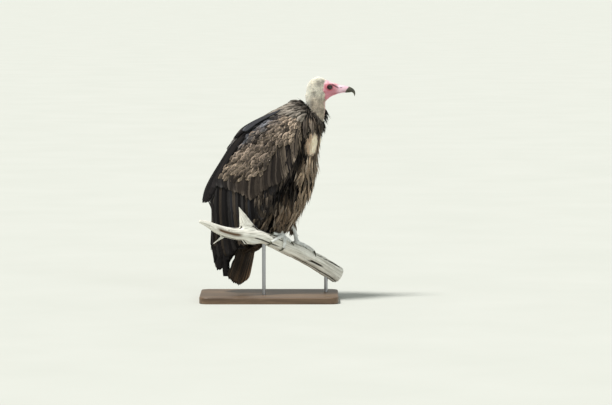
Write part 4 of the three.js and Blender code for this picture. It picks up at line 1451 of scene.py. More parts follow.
# %% Thighs and vent
spots, up, p = patch(on_thigh, 5.0, 24)
thigh_tint = blend(0.6 * ramp(waves(p, 30, 45), -0.2, 1.1), np.broadcast_to(THIGH, p.shape), BUFF * 0.7)
thigh_tint = blend(0.8 * ramp(rng.uniform(0, 1, len(p)), 0.55, 0.85), thigh_tint, INKY * 2)
thigh_tint = blend(0.8 * ramp(p[:, 2], 56, 30), thigh_tint, BUFF * 1.1)
pale = ramp(rng.uniform(0, 1, len(p)), 0.7, 0.95)
thigh_tint = blend(0.45 * pale, thigh_tint, STREAK)
# Painted shade: near black on thigh feathers behind the wing's front edge and in the hollow by the breast.
shade_behind_wing = ramp(p[:, 0] - wing_front(p[:, 2]), 4, -8)
thigh_tint = blend(0.93 * np.maximum(shade_behind_wing, wing_shade(p)), thigh_tint, INKY * 0.8)
flow = steady_flow(p, -0.1, 0.0, -1.0)
thigh_long = 42 - 16 * ramp(p[:, 2], 80, 30)
thighs = grow(spots, up, flow, thigh_long, 8.5, 10, thigh_tint, 0.55, LANCE, jitter=0.16, tone=1.0)
coat_piece("thigh_feathers", thighs, "plumage")

spots, up, p = patch(under_tail & (x_body > -120) & (np.abs(y_body) < 24), 7.0, 25)
flow = steady_flow(p, -0.62, 0.0, -0.78)
vent = grow(spots, up, flow, 38, 15, 4, np.broadcast_to(VENT, p.shape), 0.3, ROUND, tone=0.8)
coat_piece("vent_feathers", vent, "plumage")

# %% [markdown]
# ## The collar
# Where the bare neck leaves the body stands a ragged collar of narrow dark feathers. They grow in
# rings round the neck and point outwards and down, so their tips break the outline.

# %% Collar
def collar(rings, count, seed):
    """Places, normals and flows of feathers in rings round the neck, higher at the nape."""
    own = np.random.default_rng(seed)
    spots, ups, flows, sizes = [], [], [], []
    for height, reach, size in rings:
        angle = np.linspace(0, 2 * math.pi, count, endpoint=False) + own.uniform(0, 0.1, count)
        back = 0.5 - 0.5 * np.cos(angle)
        z = height + 54 * back + own.normal(0, 1.8, count)
        x, y, length, width = NECK(z).T
        ring = np.stack([x + (length + reach) * np.cos(angle) - 4 * back,
                         y + (width + reach) * np.sin(angle), z], -1)
        out = np.stack([np.cos(angle), np.sin(angle), 0.5 + 0 * angle], -1)
        spots.append(placed(ring, BIRD))
        ups.append(turned(out, BIRD))
        flows.append(turned(np.stack([0.16 * np.cos(angle) - 0.4 * back, 0.3 * np.sin(angle),
                                      -1 + 0.15 * back], -1), BIRD))
        sizes.append(size * (0.72 + 0.28 * back))
    return np.concatenate(spots), unit(np.concatenate(ups)), np.concatenate(flows), np.concatenate(sizes)


spots, up, flow, size = collar([(306, 0, 32), (314, 0, 35), (321, 1, 32), (327, 1, 26)], 52, 5)
found = np.array([skin_tree.find_nearest(Vector(s))[0] for s in spots])
spots = found - up * 0.001
collar_tint = blend(rng.uniform(0, 0.45, len(spots)), np.broadcast_to(COLLAR, spots.shape), MANTLE * 0.4)
collar_meshes = grow(spots, up, flow, size, size * 0.26, 17, collar_tint, 0.3, LANCE, jitter=0.22, tone=0.8)
coat_piece("collar_feathers", collar_meshes, "plumage")

# A loose clump on the left of the neck's base stands out past the throat.
CLUMP_COUNT = 46
clump = np.array([90, 34, 352.0]) + rng.normal(0, 1, (CLUMP_COUNT, 3)) * np.array([4, 6, 9])
clump = placed(clump, BIRD)
clump = np.array([skin_tree.find_nearest(Vector(s))[0] for s in clump])
clump_up = unit(steady_flow(clump, 0.9, 0.35, 0.25) + rng.normal(0, 0.1, (CLUMP_COUNT, 3)))
clump_flow = steady_flow(clump, 0.85, 0.05, -0.9)
clump_meshes = grow(clump, clump_up, clump_flow, 29, 7, 26, COLLAR, 0.3, LANCE, jitter=0.2)
coat_piece("throat_clump", clump_meshes, "plumage")

# %% [markdown]
# ## Small wing coverts
# The small feathers of the wing are round and grow longer towards its lower edge. Their pale fringes and
# dark hearts give the scaly look of the wing. Along the wing's front edge they are long and narrow and
# hang down.

# %% Lesser coverts
for side, label in (("right", 1), ("left", 2)):
    whole = ((body_label == label) | (body_label == label + 2)) & (z_body > np.interp(x_body, *COVERT_END))
    whole &= x_body > np.interp(z_body, *COVERT_REAR)
    whole &= (np.abs(y_body) > 64) | (z_body > 300)
    whole |= on_shoulder & ((y_body < 0) == (side == "right"))
    spots, up, p = patch(whole, 5.7, 30 + label)
    high = ramp(p[:, 2], 290, 340)
    length = 26 + 5 * ramp(p[:, 2], 260, 190) - 4 * high
    wide = 14.5 - 2.5 * ramp(p[:, 0] - wing_front(p[:, 2]), -60, -20)
    fringe = rng.uniform(0.7, 1.0, len(p)) * (1.0 - 0.3 * ramp(under_slate(p), 16, -10))
    lift = 6 + 4 * ramp(covert_gap(p), 40, 5)
    coverts = grow(spots, up, wing_flow(p), length, wide, lift, covert_tint(p), fringe, ROUND,
                   jitter=0.15, tone=1.0)
    coat_piece("wing_coverts_coat_" + side, coverts, "plumage", f"wing_coverts_{side}")

# %% Wing's front edge
for side, label in (("right", 1), ("left", 2)):
    wing = (body_label == label) | (body_label == label + 2) | (body_label == label + 4)
    strip = wing & (x_body > wing_front(z_body) - 34 - 14 * (z_body < 170)) & (z_body > 70) & (z_body < 290)
    spots, up, p = patch(strip, 6.4, 36 + label)
    shade = blend(rng.uniform(0, 1, len(p)) ** 2, np.broadcast_to(INKY * 2.5, p.shape), BUFF * 1.2)
    shade = blend(ramp(p[:, 2], 165, 205), shade * 0.6, shade)
    # Painted shade: near black where these feathers lie in the hollow by the breast.
    shade = blend(0.97 * wing_shade(p), shade, INKY * 0.4)
    flow = steady_flow(p, -0.16, 0.0, -1.0)
    edging = grow(spots, up, flow, 36, 9.5, 7, shade, 0.9, LANCE, jitter=0.1, tone=0.9)
    coat_piece("wing_edge_" + side, edging, "plumage")

# %% [markdown]
# ## Long wing feathers
# The long feathers are laid out one by one. Each is drawn in side view, as a root and a tip in
# millimetres forwards and up, and then wrapped onto the cloak, so it lies true on the rounded side of
# the folded wing. Every feather tilts a little so that its front edge rests on its neighbour, which is
# how a fan of feathers closes.

# %% Long feather builder
STATIONS, RING = 27, 8
RING_SIDE = np.array([-1, -0.5, 0, 0.5, 1, 0.5, 0, -0.5])
RING_TOP = np.array([0, 1, 1, 1, 0, -1, -1, -1])


def vane_width(t, blunt):
    """Half width along a long feather, as a share of its widest."""
    base = 0.16 + 0.84 * ramp(t, 0.02, 0.26)
    end = 1 - blunt
    round_tip = np.sqrt(np.clip(1 - (np.clip(t - end, 0, 1) / blunt) ** 2, 0, 1))
    return base * np.maximum(round_tip, 0.04)


def long_vanes(centre, width, place, seed, blunt=0.16, inner=0.6, splits=2):
    """Closed vanes. centre(t) gives middle lines; place(points, side, t) lifts them onto the bird."""
    own = np.random.default_rng(seed)
    t = np.linspace(0, 1, STATIONS)
    count = len(width)
    line = centre(t)
    ahead = unit(np.gradient(line, axis=1))
    half = width[:, None] * vane_width(t, blunt)[None]
    share = np.where(RING_SIDE < 0, 1 - inner, inner) * 2
    reach = half[..., None] * 0.5 * (RING_SIDE * share)[None, None]
    notch = np.ones((count, STATIONS, 2))
    for _ in range(splits):
        at = own.uniform(0.3, 0.93, (count, 1, 2))
        depth = own.uniform(0.0, 0.26, (count, 1, 2))
        notch -= depth * np.exp(-(((t[None, :, None] - at) / 0.022) ** 2))
    left_right = np.where(RING_SIDE < 0, 0, 1)
    edge = np.where(np.abs(RING_SIDE) > 0.9, 1.0, 0.0)
    reach = reach * (1 + edge * (notch[:, :, left_right] - 1))
    return place(line, ahead, reach, t)


def vane_body(t, thick):
    """How far each ring point stands off a feather's middle plane, thickest at the shaft."""
    body = thick * np.sqrt(np.clip(1.02 - t, 0.05, 1))[None, :, None]
    return RING_TOP * body * np.where(RING_SIDE == 0, 1.7, 0.8)


def vane_mesh(name, points, stored):
    """One mesh from an array of feathers, stations, ring and xyz in metres, with its own bake map."""
    count = len(points)
    faces = ring_faces(STATIONS, RING)
    cap = np.array([[0, 1, 2, 3], [0, 3, 4, 7], [4, 5, 6, 7]])
    ends = np.concatenate([cap[:, ::-1], cap + (STATIONS - 1) * RING])
    all_faces = np.concatenate([faces, ends])
    block = STATIONS * RING
    whole = (all_faces[None] + (np.arange(count) * block)[:, None, None]).reshape(-1, 4)
    mesh = new_mesh(name, points.reshape(-1, 3), whole)
    t = np.linspace(0, 1, STATIONS)
    set_attribute(mesh, "along", np.tile(np.repeat(t, RING), count))
    set_attribute(mesh, "side", np.tile(RING_SIDE, count * STATIONS))
    for key, values in stored.items():
        kind = "FLOAT_COLOR" if np.ndim(values) == 2 else "FLOAT"
        set_attribute(mesh, key, np.repeat(values, block, axis=0), kind)
    columns = math.ceil(math.sqrt(count))
    corner = np.array([[0, 0], [1, 0], [1, 1], [0, 1]], float)
    r, k = np.meshgrid(np.arange(STATIONS - 1), np.arange(RING), indexing="ij")
    grid = np.stack([k, r], -1).reshape(-1, 1, 2) + corner
    flat = np.tile(np.array([[[0, 0]]]), (6, 4, 1)) + corner * 0.4
    cell = np.concatenate([grid, flat]) / np.array([RING, STATIONS]) * 0.92 + 0.04
    at = np.stack([np.arange(count) % columns, np.arange(count) // columns], -1)
    uv = (cell[None] + at[:, None, None]) / columns
    layer = mesh.uv_layers.new(name="OFBake")
    layer.data.foreach_set("uv", uv.astype(np.float32).ravel())
    return mesh


def spread(curve, count):
    """Evenly spaced points along a short run of side-view points."""
    curve = np.array(curve, float)
    run = np.r_[0, np.cumsum(np.linalg.norm(np.diff(curve, axis=0), axis=1))]
    at = np.linspace(0, run[-1], count)
    return np.stack([np.interp(at, run, curve[:, k]) for k in (0, 1)], -1)


def beside(flat, way):
    """Side view points, forwards and up, on the side of the cloak."""
    front, back, side, widest = np.moveaxis(CLOAK(flat[..., 1]), -1, 0)
    x = np.clip(flat[..., 0], back + 2.0, front - 1.0)
    reach = np.where(x > widest, front - widest, widest - back)
    level = np.clip(1 - np.abs((x - widest) / reach) ** CLOAK_POWER, 0.0004, 1)
    return np.stack([x, way * side * level ** (1 / CLOAK_POWER), flat[..., 1]], -1)


def behind(flat, way):
    """Back view points, away from the middle and up, on the back of the cloak."""
    _, back, side, widest = np.moveaxis(CLOAK(flat[..., 1]), -1, 0)
    y = np.clip(flat[..., 0], 0.5, side - 1.0)
    level = np.clip(1 - (y / side) ** CLOAK_POWER, 0.0004, 1)
    return np.stack([widest - (widest - back) * level ** (1 / CLOAK_POWER), way * y, flat[..., 1]], -1)


BACK_LIMIT = -400.0
BRIDGE = 12.0
DIP = 4


def pressed_on_skin(points, height):
    """Points behind the bird moved level onto the back of its skin, then out by a height.

    The two wings leave a narrow valley along the middle, and the feathers bridge it. Dips shorter than
    DIP stations are bridged too.
    """
    flat = points.reshape(-1, 3)
    y = np.sign(flat[:, 1]) * np.maximum(np.abs(flat[:, 1]), BRIDGE)
    start = placed(np.stack([BACK_LIMIT + 0 * y, y, flat[:, 2]], -1), BIRD)
    ahead = Vector(turned([[1.0, 0, 0]], BIRD)[0])
    hits = [skin_tree.ray_cast(Vector(p), ahead)[3] for p in start]
    x = np.array([np.nan if h is None else BACK_LIMIT + h / MM for h in hits])
    x = x.reshape(points.shape[:3])
    for k in range(1, x.shape[1]):
        x[:, k] = np.where(np.isnan(x[:, k]), x[:, k - 1], x[:, k])
    for pick in (np.min, np.max, np.mean):
        ends = np.pad(x, ((0, 0), (DIP, DIP), (0, 0)), mode="reflect", reflect_type="odd")
        x = pick([ends[:, k : k + x.shape[1]] for k in range(2 * DIP + 1)], axis=0)
    return np.stack([x - height, points[..., 1], points[..., 2]], -1)


def wing_row(way, roots, tips, count, width, out, tilt, tint, fringe, seed, bow=0.0, onto=beside, **more):
    """A row of long feathers on one wing. way is -1 for the right wing and 1 for the left."""
    own = np.random.default_rng(seed)
    root, tip = spread(roots, count), spread(tips, count)
    tip = tip + own.normal(0, 1.6 if onto is beside else 6.0, tip.shape)
    width = np.broadcast_to(width, count) * own.uniform(0.94, 1.06, count)

    def centre(t):
        flat = root[:, None] + (tip - root)[:, None] * t[None, :, None]
        across = unit(tip - root)[:, ::-1] * np.array([1, -1])
        return onto(flat + across[:, None] * (bow * np.sin(np.pi * t))[None, :, None], way)

    def place(line, ahead, reach, t):
        normal = cloak_normal(line)
        across = unit(np.cross(ahead, normal)) * way
        points = line[:, :, None] + across[:, :, None] * reach[..., None]
        height = np.interp(t, [0, 1], out)[None, :, None] + 0 * reach
        s = reach / (width[:, None, None] * 0.6)
        height = height - tilt * s - 0.5 * s**2
        height = height + vane_body(t, 0.45)
        if onto is behind:
            return placed(pressed_on_skin(points, height), BIRD)
        return placed(onto_cloak(points, height), BIRD)

    points = long_vanes(centre, width, place, seed, **more)
    tint = tint(root, tip) if callable(tint) else np.broadcast_to(tint, (count, 3))
    stored = {
        "tint": np.array(tint),
        "fringe": fringe * own.uniform(0.1, 1.0, count) ** 2,
        "fleck": own.uniform(0.1, 0.85, count),
    }
    return points, stored


def row_piece(name, rows, material, slot, *nodes):
    """All rows of one wing as one piece."""
    points = np.concatenate([r[0] for r in rows])
    keys = rows[0][1].keys()
    stored = {k: np.concatenate([r[1][k] for r in rows]) for k in keys}
    piece = new_piece(name, vane_mesh(name, points, stored), material)
    declare(piece, slot, *nodes)
    print(name + ":", len(points), "feathers,", len(triangles_of(piece.data)), "triangles")
    return piece


# %% Wing feathers
def flight_tint(root, tip):
    """Dark feathers, some browner and some greyer than their neighbours, darkest in front."""
    share = (0.5 + 0.5 * np.sin(np.arange(len(root)) * 2.4)) ** 2
    tint = blend(share, np.tile(INKY, (len(root), 1)), FLIGHT * 2.4)
    tint[2::5] = BUFF * 0.28
    tint[4::7] = SLATE * 0.3
    return blend(0.5 * ramp(tip[:, 0], -74, -40), tint, INKY)


def greater_tint(root, tip):
    """Brown near the body and greyer and darker towards the wing's tip."""
    tint = blend(ramp(tip[:, 0], -180, -120), np.tile(FLIGHT * 1.5, (len(root), 1)), BROWN * 0.3)
    tint = blend(0.5 * ramp(tip[:, 0], -70, -30), tint, INKY)
    return blend((0.5 + 0.5 * np.sin(np.arange(len(root)) * 1.9)) ** 2, tint * 0.6, tint * 1.6)


def shoulder_tint(root, tip):
    """Long narrow feathers of the wing's front, buff and black in turn."""
    own = np.random.default_rng(9)
    return blend(own.uniform(0, 1, len(root)) ** 2.2, np.tile(INKY * 1.5, (len(root), 1)), BUFF * 0.9)


def scapular_tint(root, tip):
    """Dark, with one pale feather near the back that draws a light line, a painted highlight along the
    scapulars' edge.
    """
    tint = np.tile(INKY * 2.0, (len(root), 1))
    tint[-2] = (0.16, 0.155, 0.15)
    tint[:2] = SLATE * 0.5
    return tint


for side, way, seed in (("right", -1, 50), ("left", 1, 70)):
    rows = [
        wing_row(way, [(-118, 70), (-150, 80), (-180, 90)],
                 [(-164, -42), (-186, -58), (-200, -92), (-207, -58)],
                 8, 21, (-2.6, -1.6), 0.9, INKY * 1.8, 0.4, seed, bow=-3, blunt=0.3),
        wing_row(way, [(-10, 204), (-44, 188), (-90, 184), (-150, 194), (-188, 206)],
                 [(-30, 136), (-42, 104), (-60, 72), (-86, 34), (-126, -20), (-166, -44), (-196, -54)],
                 25, 27, (-4.0, -1.0), 1.5, flight_tint, 0.8, seed + 1, bow=2, blunt=0.2),
        wing_row(way, [(-4, 268), (-24, 256), (-45, 236), (-90, 206), (-140, 206), (-190, 214)],
                 [(-12, 160), (-54, 144), (-74, 126), (-98, 113), (-118, 130), (-150, 138), (-190, 150)],
                 30, 18, (-5.2, 0.6), 1.2, greater_tint, 0.85, seed + 2, bow=2, blunt=0.3, splits=3),
        wing_row(way, [(-22, 292), (0, 312), (22, 324), (42, 318)],
                 [(-8, 166), (4, 176), (18, 196), (34, 232)],
                 18, 10, (-5.5, -1.0), 1.2, shoulder_tint, 0.9, seed + 8, bow=1, blunt=0.5, splits=3),
        wing_row(way, [(-98, 318), (-112, 308), (-126, 296)], [(-206, 154), (-218, 124), (-233, 102)], 6,
                 24, (-2.0, -1.0), 1.0, INKY * 1.8, 0.5, seed + 3, bow=9, blunt=0.12),
        wing_row(way, [(-14, 362), (-30, 356), (-52, 346)], [(-112, 302), (-132, 296), (-150, 284)], 6, 15,
                 (0.0, 3.6), 1.0, scapular_tint, 0.8, seed + 4, bow=4, blunt=0.16, splits=3),
    ]
    row_piece("wing_feathers_" + side, rows, QUILL, "flight",
              f"wing_tertials_{side}", f"wing_quills_{side}")
    rear = {"onto": behind, "blunt": 0.2}
    rows = [
        wing_row(way, [(44, 30), (12, 30)], [(24, -84), (18, -58), (10, -36)], 6, 18, (1.0, 1.5), 0.6,
                 INKY * 2, 0.2, seed + 5, **rear),
        wing_row(way, [(64, 124), (10, 124)], [(48, -28), (12, -24)], 7, 24, (0.5, 3), 0.9, flight_tint, 0.3,
                 seed + 6, **rear),
        wing_row(way, [(66, 290), (11, 262)], [(58, 106), (11, 102)], 7, 24, (0.0, 3), 1.0, FLIGHT * 1.5, 0.2,
                 seed + 7, **rear),
    ]
    row_piece("back_feathers_" + side, rows, QUILL, "flight")

# %% [markdown]
# ## Tail
# Twelve tail feathers close like a fan, with the middle pair on top. The fan is drawn flat, then
# twisted about its length and leant back with the same angles as the CAD tail.

# %% Tail feathers
TAIL_ROOT = Vector((-85, 0, 96))
TAIL_FRAME = (
    BIRD
    @ Matrix.Translation(TAIL_ROOT)
    @ Matrix.Rotation(math.radians(16.8), 4, "Y")
    @ Matrix.Rotation(math.radians(90 - 25), 4, "Z")
    @ Matrix.Rotation(math.radians(90), 4, "X")
)


# How rufous each tail feather is, from the bird's right to its left.
TAIL_SHARE = np.array([0.0, 0.1, 0.0, 0.05, 0.1, 0.3, 0.05, 0.7, 0.1, 1.0, 0.2, 0.9])


def tail_row(count, seed):
    own = np.random.default_rng(seed)
    side = np.linspace(-1, 1, count)
    angle = np.radians(side * 8.2)
    length = 231 - 12 * side**2 + own.normal(0, 1.6, count)
    root = np.stack([side * 9, 0 * side], -1)
    tip = root + np.stack([length * np.sin(angle), -length * np.cos(angle)], -1)
    level = 2.6 - 5.2 * np.abs(side)

    def centre(t):
        flat = root[:, None] + (tip - root)[:, None] * t[None, :, None]
        return np.concatenate([flat, level[:, None, None] + 0 * flat[..., :1]], -1)

    def place(line, ahead, reach, t):
        across = unit(np.cross(ahead, np.array([0, 0, 1.0])))
        points = line[:, :, None] + across[:, :, None] * reach[..., None]
        z = vane_body(t, 0.5) - 0.004 * reach**2
        points[..., 2] += z + np.sign(side + 0.01)[:, None, None] * 0.05 * reach
        return placed(points, TAIL_FRAME)

    more = {"blunt": 0.1, "inner": 0.5, "splits": 4}
    points = long_vanes(centre, np.full(count, 27.0), place, seed, **more)
    tint = blend(TAIL_SHARE, np.tile(TAIL * 0.6, (count, 1)), RUFOUS * 1.8)
    return points, {"tint": tint, "fringe": np.full(count, 0.7), "fleck": own.uniform(0.2, 0.8, count)}


row_piece("tail_feathers", [tail_row(12, 90)], QUILL, "flight", "tail")

# %% [markdown]
# ## Bill
# The horn part of the bill is two smooth lofts. The upper one hooks down over the lower, and its
# cutting edge is pinched in a little along its side.

# %% Bill
# Rows: place along the head, height of the middle, half width, half height.
UPPER_HORN = [
    [36, -4.4, 7.4, 8.6],
    [48, -5.4, 6.5, 7.4],
    [57, -7.2, 5.4, 6.2],
    [64, -11, 4, 4.6],
    [67.8, -17.5, 2.3, 2.5],
    [68.2, -25, 0.5, 0.5],
]
LOWER_HORN = [
    [38, -13.4, 5.6, 2.7],
    [50, -13.2, 4.6, 2.2],
    [58, -12.8, 3.2, 1.5],
    [62, -12.6, 1.2, 0.5],
]


BILL_SIDES = 48


def horn_loft(rows, start, count=64):
    """A tube through the rows, from a place along the head on."""
    rows = np.array(rows)
    step = np.r_[0, np.cumsum(np.hypot(*np.diff(rows[:, :2], axis=0).T))]
    table = smooth_rows(np.c_[step, rows])
    fine = table(np.linspace(0, step[-1], 400))
    fine = fine[fine[:, 0] >= start]
    pick = np.linspace(0, len(fine) - 1, count).round().astype(int)
    x, z, side, up = fine[pick].T
    return tube_along(np.stack([x, 0 * x, z], -1), side, up, BILL_SIDES)


upper = horn_loft(UPPER_HORN, 43.2)
height = upper[..., 2] - upper.mean(1)[:, None, 2]
lower_half = ramp(-height, 0.5, 5)
upper[..., 1] *= 1 - 0.22 * lower_half * ramp(upper[..., 0], 66, 52)
upper[..., 1] *= 1 + 0.07 * hump(upper[..., 2] + 9.5, 1.6) * ramp(upper[..., 0], 62, 50)
lower = horn_loft(LOWER_HORN, 43.2, 40)
for name, rings in (("bill_upper", upper), ("bill_lower", lower)):
    points, faces = tube(rings)
    mesh = new_mesh(name + "_horn", placed(points, HEAD), faces)
    h = local(points_of(mesh), HEAD)
    set_attribute(mesh, "cere", ramp(horn_line(h) - 2.5 * ramp(h[:, 2], -8, 2), 46.8, 44.0))
    piece = new_piece(name + "_horn", mesh, HORN)
    declare(piece, "horn", name)
print("bill sides:", upper.shape[1], "and", lower.shape[1])

# %% [markdown]
# ## Eyes and lids
# Each eye is a ball with a clear bulge in front of the iris. Two thin lids of skin close on it, the
# upper one heavier, so that the eye sits in its socket and not on the face.

# %% Eyes
def eye_ball(way):
    """A ball whose axis points out of the head and a little forward and up."""
    ring = np.linspace(0.004, 1, 40)
    angle = np.linspace(0, 2 * math.pi, 48, endpoint=False)
    tilt = ring * math.pi
    radius = EYE_RADIUS * (1 + 0.075 * hump(tilt, 0.5))
    out, across = radius * np.cos(tilt), radius * np.sin(tilt)
    x = across[:, None] * np.cos(angle)
    z = across[:, None] * np.sin(angle)
    points = np.stack([x, way * (out[:, None] + 0 * x), z], -1)
    turn = np.array(Matrix.Rotation(math.radians(way * 12), 3, "Z"))
    points = points @ turn.T + np.array([0.2, way * EYE_DEPTH, 0.3])
    share = np.repeat(across / EYE_RADIUS * np.where(out > 0, 1, 2), 48)
    return points, share


for side, way in (("right", -1), ("left", 1)):
    rings, share = eye_ball(way)
    points, faces = tube(rings if way > 0 else rings[:, ::-1])
    mesh = new_mesh("eye_ball_" + side, placed(points, HEAD), faces)
    bulge = local(points_of(mesh), HEAD) - np.array([0.2, way * EYE_DEPTH, 0.3])
    axis = np.array([way * 0.207, way * 0.978, 0])
    across = np.linalg.norm(np.cross(bulge, axis), axis=1) / EYE_RADIUS
    set_attribute(mesh, "ring", np.where((bulge * axis).sum(1) > 0, across, 1.0))
    piece = new_piece("eye_ball_" + side, mesh, EYE)
    declare(piece, "eye", "eye_" + side)
print("eyes", round(2 * EYE_RADIUS, 1), "mm across")


# %% Lids
def lid_rings(way, upper_lid):
    """A rim of skin from one corner of the eye to the other, hugging the ball."""
    turn = np.linspace(-0.06, 1.06, 44) * math.pi
    open_up, open_down = 4.3, 3.7
    x = -5.9 * np.cos(turn)
    z = np.sin(turn) * (open_up if upper_lid else -open_down) + 0.10 * x
    depth = np.sqrt(np.clip((EYE_RADIUS + 0.35) ** 2 - x**2 - z**2, 1.0, None))
    y = way * (EYE_DEPTH + depth)
    size = (0.85 if upper_lid else 0.62) * (0.55 + 0.45 * np.sin(np.clip(turn, 0, math.pi)))
    centres = np.stack([x + 0.3, y, z + 0.3], -1)
    return tube_along(centres, size, size * 1.15, 14, (0, 0, 1))


lids = []
for way in (-1, 1):
    for upper_lid in (True, False):
        points, faces = tube(lid_rings(way, upper_lid))
        mesh = new_mesh("lid", placed(points, HEAD), faces)
        lids.append((points_of(mesh), triangles_of(mesh)))
lid_points, lid_faces = joined(lids)
lid_mesh = remeshed(new_mesh("lids", lid_points, lid_faces), VOXEL["lids"])
relaxed(lid_mesh, 3)
p = local(points_of(lid_mesh), HEAD)
LID_LOW, LID_HIGH = np.array([0.05, 0.024, 0.028]), np.array([0.11, 0.05, 0.06])
lid_tint = blend(ramp(p[:, 2], -1, 4), np.tile(LID_LOW, (len(p), 1)), LID_HIGH)
rim = ramp(np.hypot(p[:, 0] - 0.3, (p[:, 2] - 0.3) * 1.4), 6.4, 5.0)
lid_tint = blend(0.8 * rim, lid_tint, np.array([0.02, 0.014, 0.014]))
set_attribute(lid_mesh, "tint", lid_tint, "FLOAT_COLOR")
set_attribute(lid_mesh, "fold_place", points_of(lid_mesh), "FLOAT_VECTOR")
lid_piece = new_piece("eyelids", lid_mesh, SKIN)
declare(lid_piece, "face")
print("lids:", len(lid_mesh.polygons), "faces")

# %% [markdown]
# ## Weathered branch
# The limb, its splinter, twig and snag are lofted, fused by a fine remesh and then carved by formulas
# of the place along and round the limb: long grooves, knots, a rotten trough in the split end. The
# same formulas store how deep a crack is, so colour and relief agree.

# %% Branch shape
# Rows of the splinter and the twig: along, to the left, height, radius.
SPLINTER = [[-165, -3, 16, 8], [-205, -6, 25, 7], [-232, -8, 36, 5], [-252, -8, 44, 2.2]]
TWIG = [[-204, 0, 22, 4.5], [-222, -3, 11, 3.4], [-242, -6, -1, 2]]
# Rows of the snag: height, middle along, half length, half width.
SNAG = smooth_rows(
    [[-6, -114, 30, 11], [8, -122, 30, 12], [30, -129, 29, 12.5], [50, -139, 19.5, 10.5],
     [72, -148.5, 10.5, 7.5], [98, -161, 2, 1.8]]
)


def limb_rings():
    x = np.linspace(-281, 147, 220)
    height, radius = LIMB(x).T
    centres = np.stack([x, 0 * x, height], -1)
    return tube_along(centres, radius, radius, 72)


def stick_rings(rows):
    """Rings along the splinter or the twig."""
    table = smooth_rows(np.c_[np.arange(len(rows)), np.array(rows, float)])
    fine = table(np.linspace(0, len(rows) - 1, 40))
    return tube_along(fine[:, :3], fine[:, 3], fine[:, 3], 32)


def snag_rings():
    z = np.linspace(-6, 98, 80)
    x, length, width = SNAG(z).T
    return level_rings(z, x, 0 * z, length, width, 48)


wood = joined([tube(limb_rings()), tube(stick_rings(SPLINTER)), tube(stick_rings(TWIG)), tube(snag_rings())])
wood_mesh = remeshed(new_mesh("wood", placed(wood[0], BRANCH), wood[1]), VOXEL["wood"])
relaxed(wood_mesh, 8)
q = local(points_of(wood_mesh), BRANCH)
print("wood:", len(q), "points")


# %% Carving the wood
def limb_place(q):
    """Place along the limb, the angle round it and the limb's radius there."""
    height, radius = LIMB(q[:, 0]).T
    return q[:, 0], np.arctan2(q[:, 1], q[:, 2] - height), radius


along, turn, radius = limb_place(q)
on_snag = ramp(q[:, 2] - LIMB(q[:, 0])[:, 0], 20, 32) * ramp(q[:, 0], -96, -104) * ramp(q[:, 0], -178, -165)
run = along * (1 - on_snag) + (q[:, 2] * 1.02 - q[:, 0] * 0.2) * on_snag
side_turn = turn * (1 - on_snag) + np.arctan2(q[:, 1], q[:, 0] + 139 + 0.55 * (q[:, 2] - 50)) * on_snag
around = side_turn * 18
twist = np.stack([run * 0.045, around * 0.32, 0 * run], -1)
grain_wave = waves(twist, 1.6, 61, 18)
fine_wave = waves(np.stack([run * 0.06, around, 0 * run], -1), 2.6, 62, 18)
# Long cracks are thin wandering lines round the limb.
crack = 0 * run
own = np.random.default_rng(63)
for k in range(26):
    centre = own.uniform(-math.pi, math.pi)
    start, length = own.uniform(-270, 110), own.uniform(60, 200)
    wander = centre + 0.10 * np.sin(run * 0.035 + k) + 0.0014 * (run - start) * own.uniform(-1, 1)
    gap = np.abs((side_turn - wander + math.pi) % (2 * math.pi) - math.pi) * np.maximum(radius, 8)
    inside = ramp(run, start, start + 22) * ramp(run, start + length, start + length - 30)
    crack = np.maximum(crack, hump(gap, own.uniform(1.1, 1.7)) * inside)
knots = 0 * run
for at, angle, size in ((-60, -1.2, 7), (40, -1.9, 8), (96, -0.6, 9), (-196, -1.3, 5), (4, 2.2, 7)):
    gap = np.hypot(run - at, ((side_turn - angle + math.pi) % (2 * math.pi) - math.pi) * radius)
    knots += hump(gap - size, size * 0.35) - 0.9 * hump(gap, size * 0.6)
height = LIMB(along)[:, 0]
trough = ramp(-q[:, 1], 3, 9) * hump(q[:, 2] - height + 2 + 0.05 * (q[:, 0] + 190), 4.6)
rot = trough * ramp(q[:, 0], -238, -216) * ramp(q[:, 0], -150, -172)
sawn = ramp(q[:, 0], 145.2, 146.6)
fade = (1 - sawn) * np.clip(radius / 14, 0.35, 1)
crack = evened(wood_mesh, crack, 2)
relief = grain_wave * 0.4 + fine_wave * 0.25 - 1.7 * crack + knots * 1.2
carve = relief * fade * (1 - 0.5 * on_snag) - 3.8 * rot
carve += waves(q, 60, 64) * 0.8 * fade
carve = np.where(q[:, 0] > 145.5, np.minimum(carve, 0), carve)
set_points(wood_mesh, points_of(wood_mesh) + normals_of(wood_mesh) * (np.clip(carve, -4, 1.6) * MM)[:, None])
grain_place = np.stack([run * MM, np.sin(side_turn) * 0.018, np.cos(side_turn) * 0.018], -1)
set_attribute(wood_mesh, "grain", grain_place, "FLOAT_VECTOR")
# Partly painted shade: the cracks and the low grooves of the grain darken with their depth.
tone = crack * fade * (1 - 0.6 * on_snag) + 0.25 * ramp(-grain_wave, 0.9, 2.0)
set_attribute(wood_mesh, "crack", np.clip(evened(wood_mesh, tone, 3) * 1.2, 0, 1))
set_attribute(wood_mesh, "rot", np.clip(rot * 1.3, 0, 1))
branch = new_piece("branch_wood", wood_mesh, WOOD)
declare(branch, "dead_wood", "perch_branch", "perch_snag")
print("branch:", len(triangles_of(wood_mesh)), "triangles, cracks over", int((crack > 0.5).sum()), "points")

# %% [markdown]
# ## Feet and claws
# Each toe is a row of knuckled rings that follows the bark from the pad to the claw, and bent plates,
# called scutes, cross its top. The claws are separate horn tubes that end at the wood.

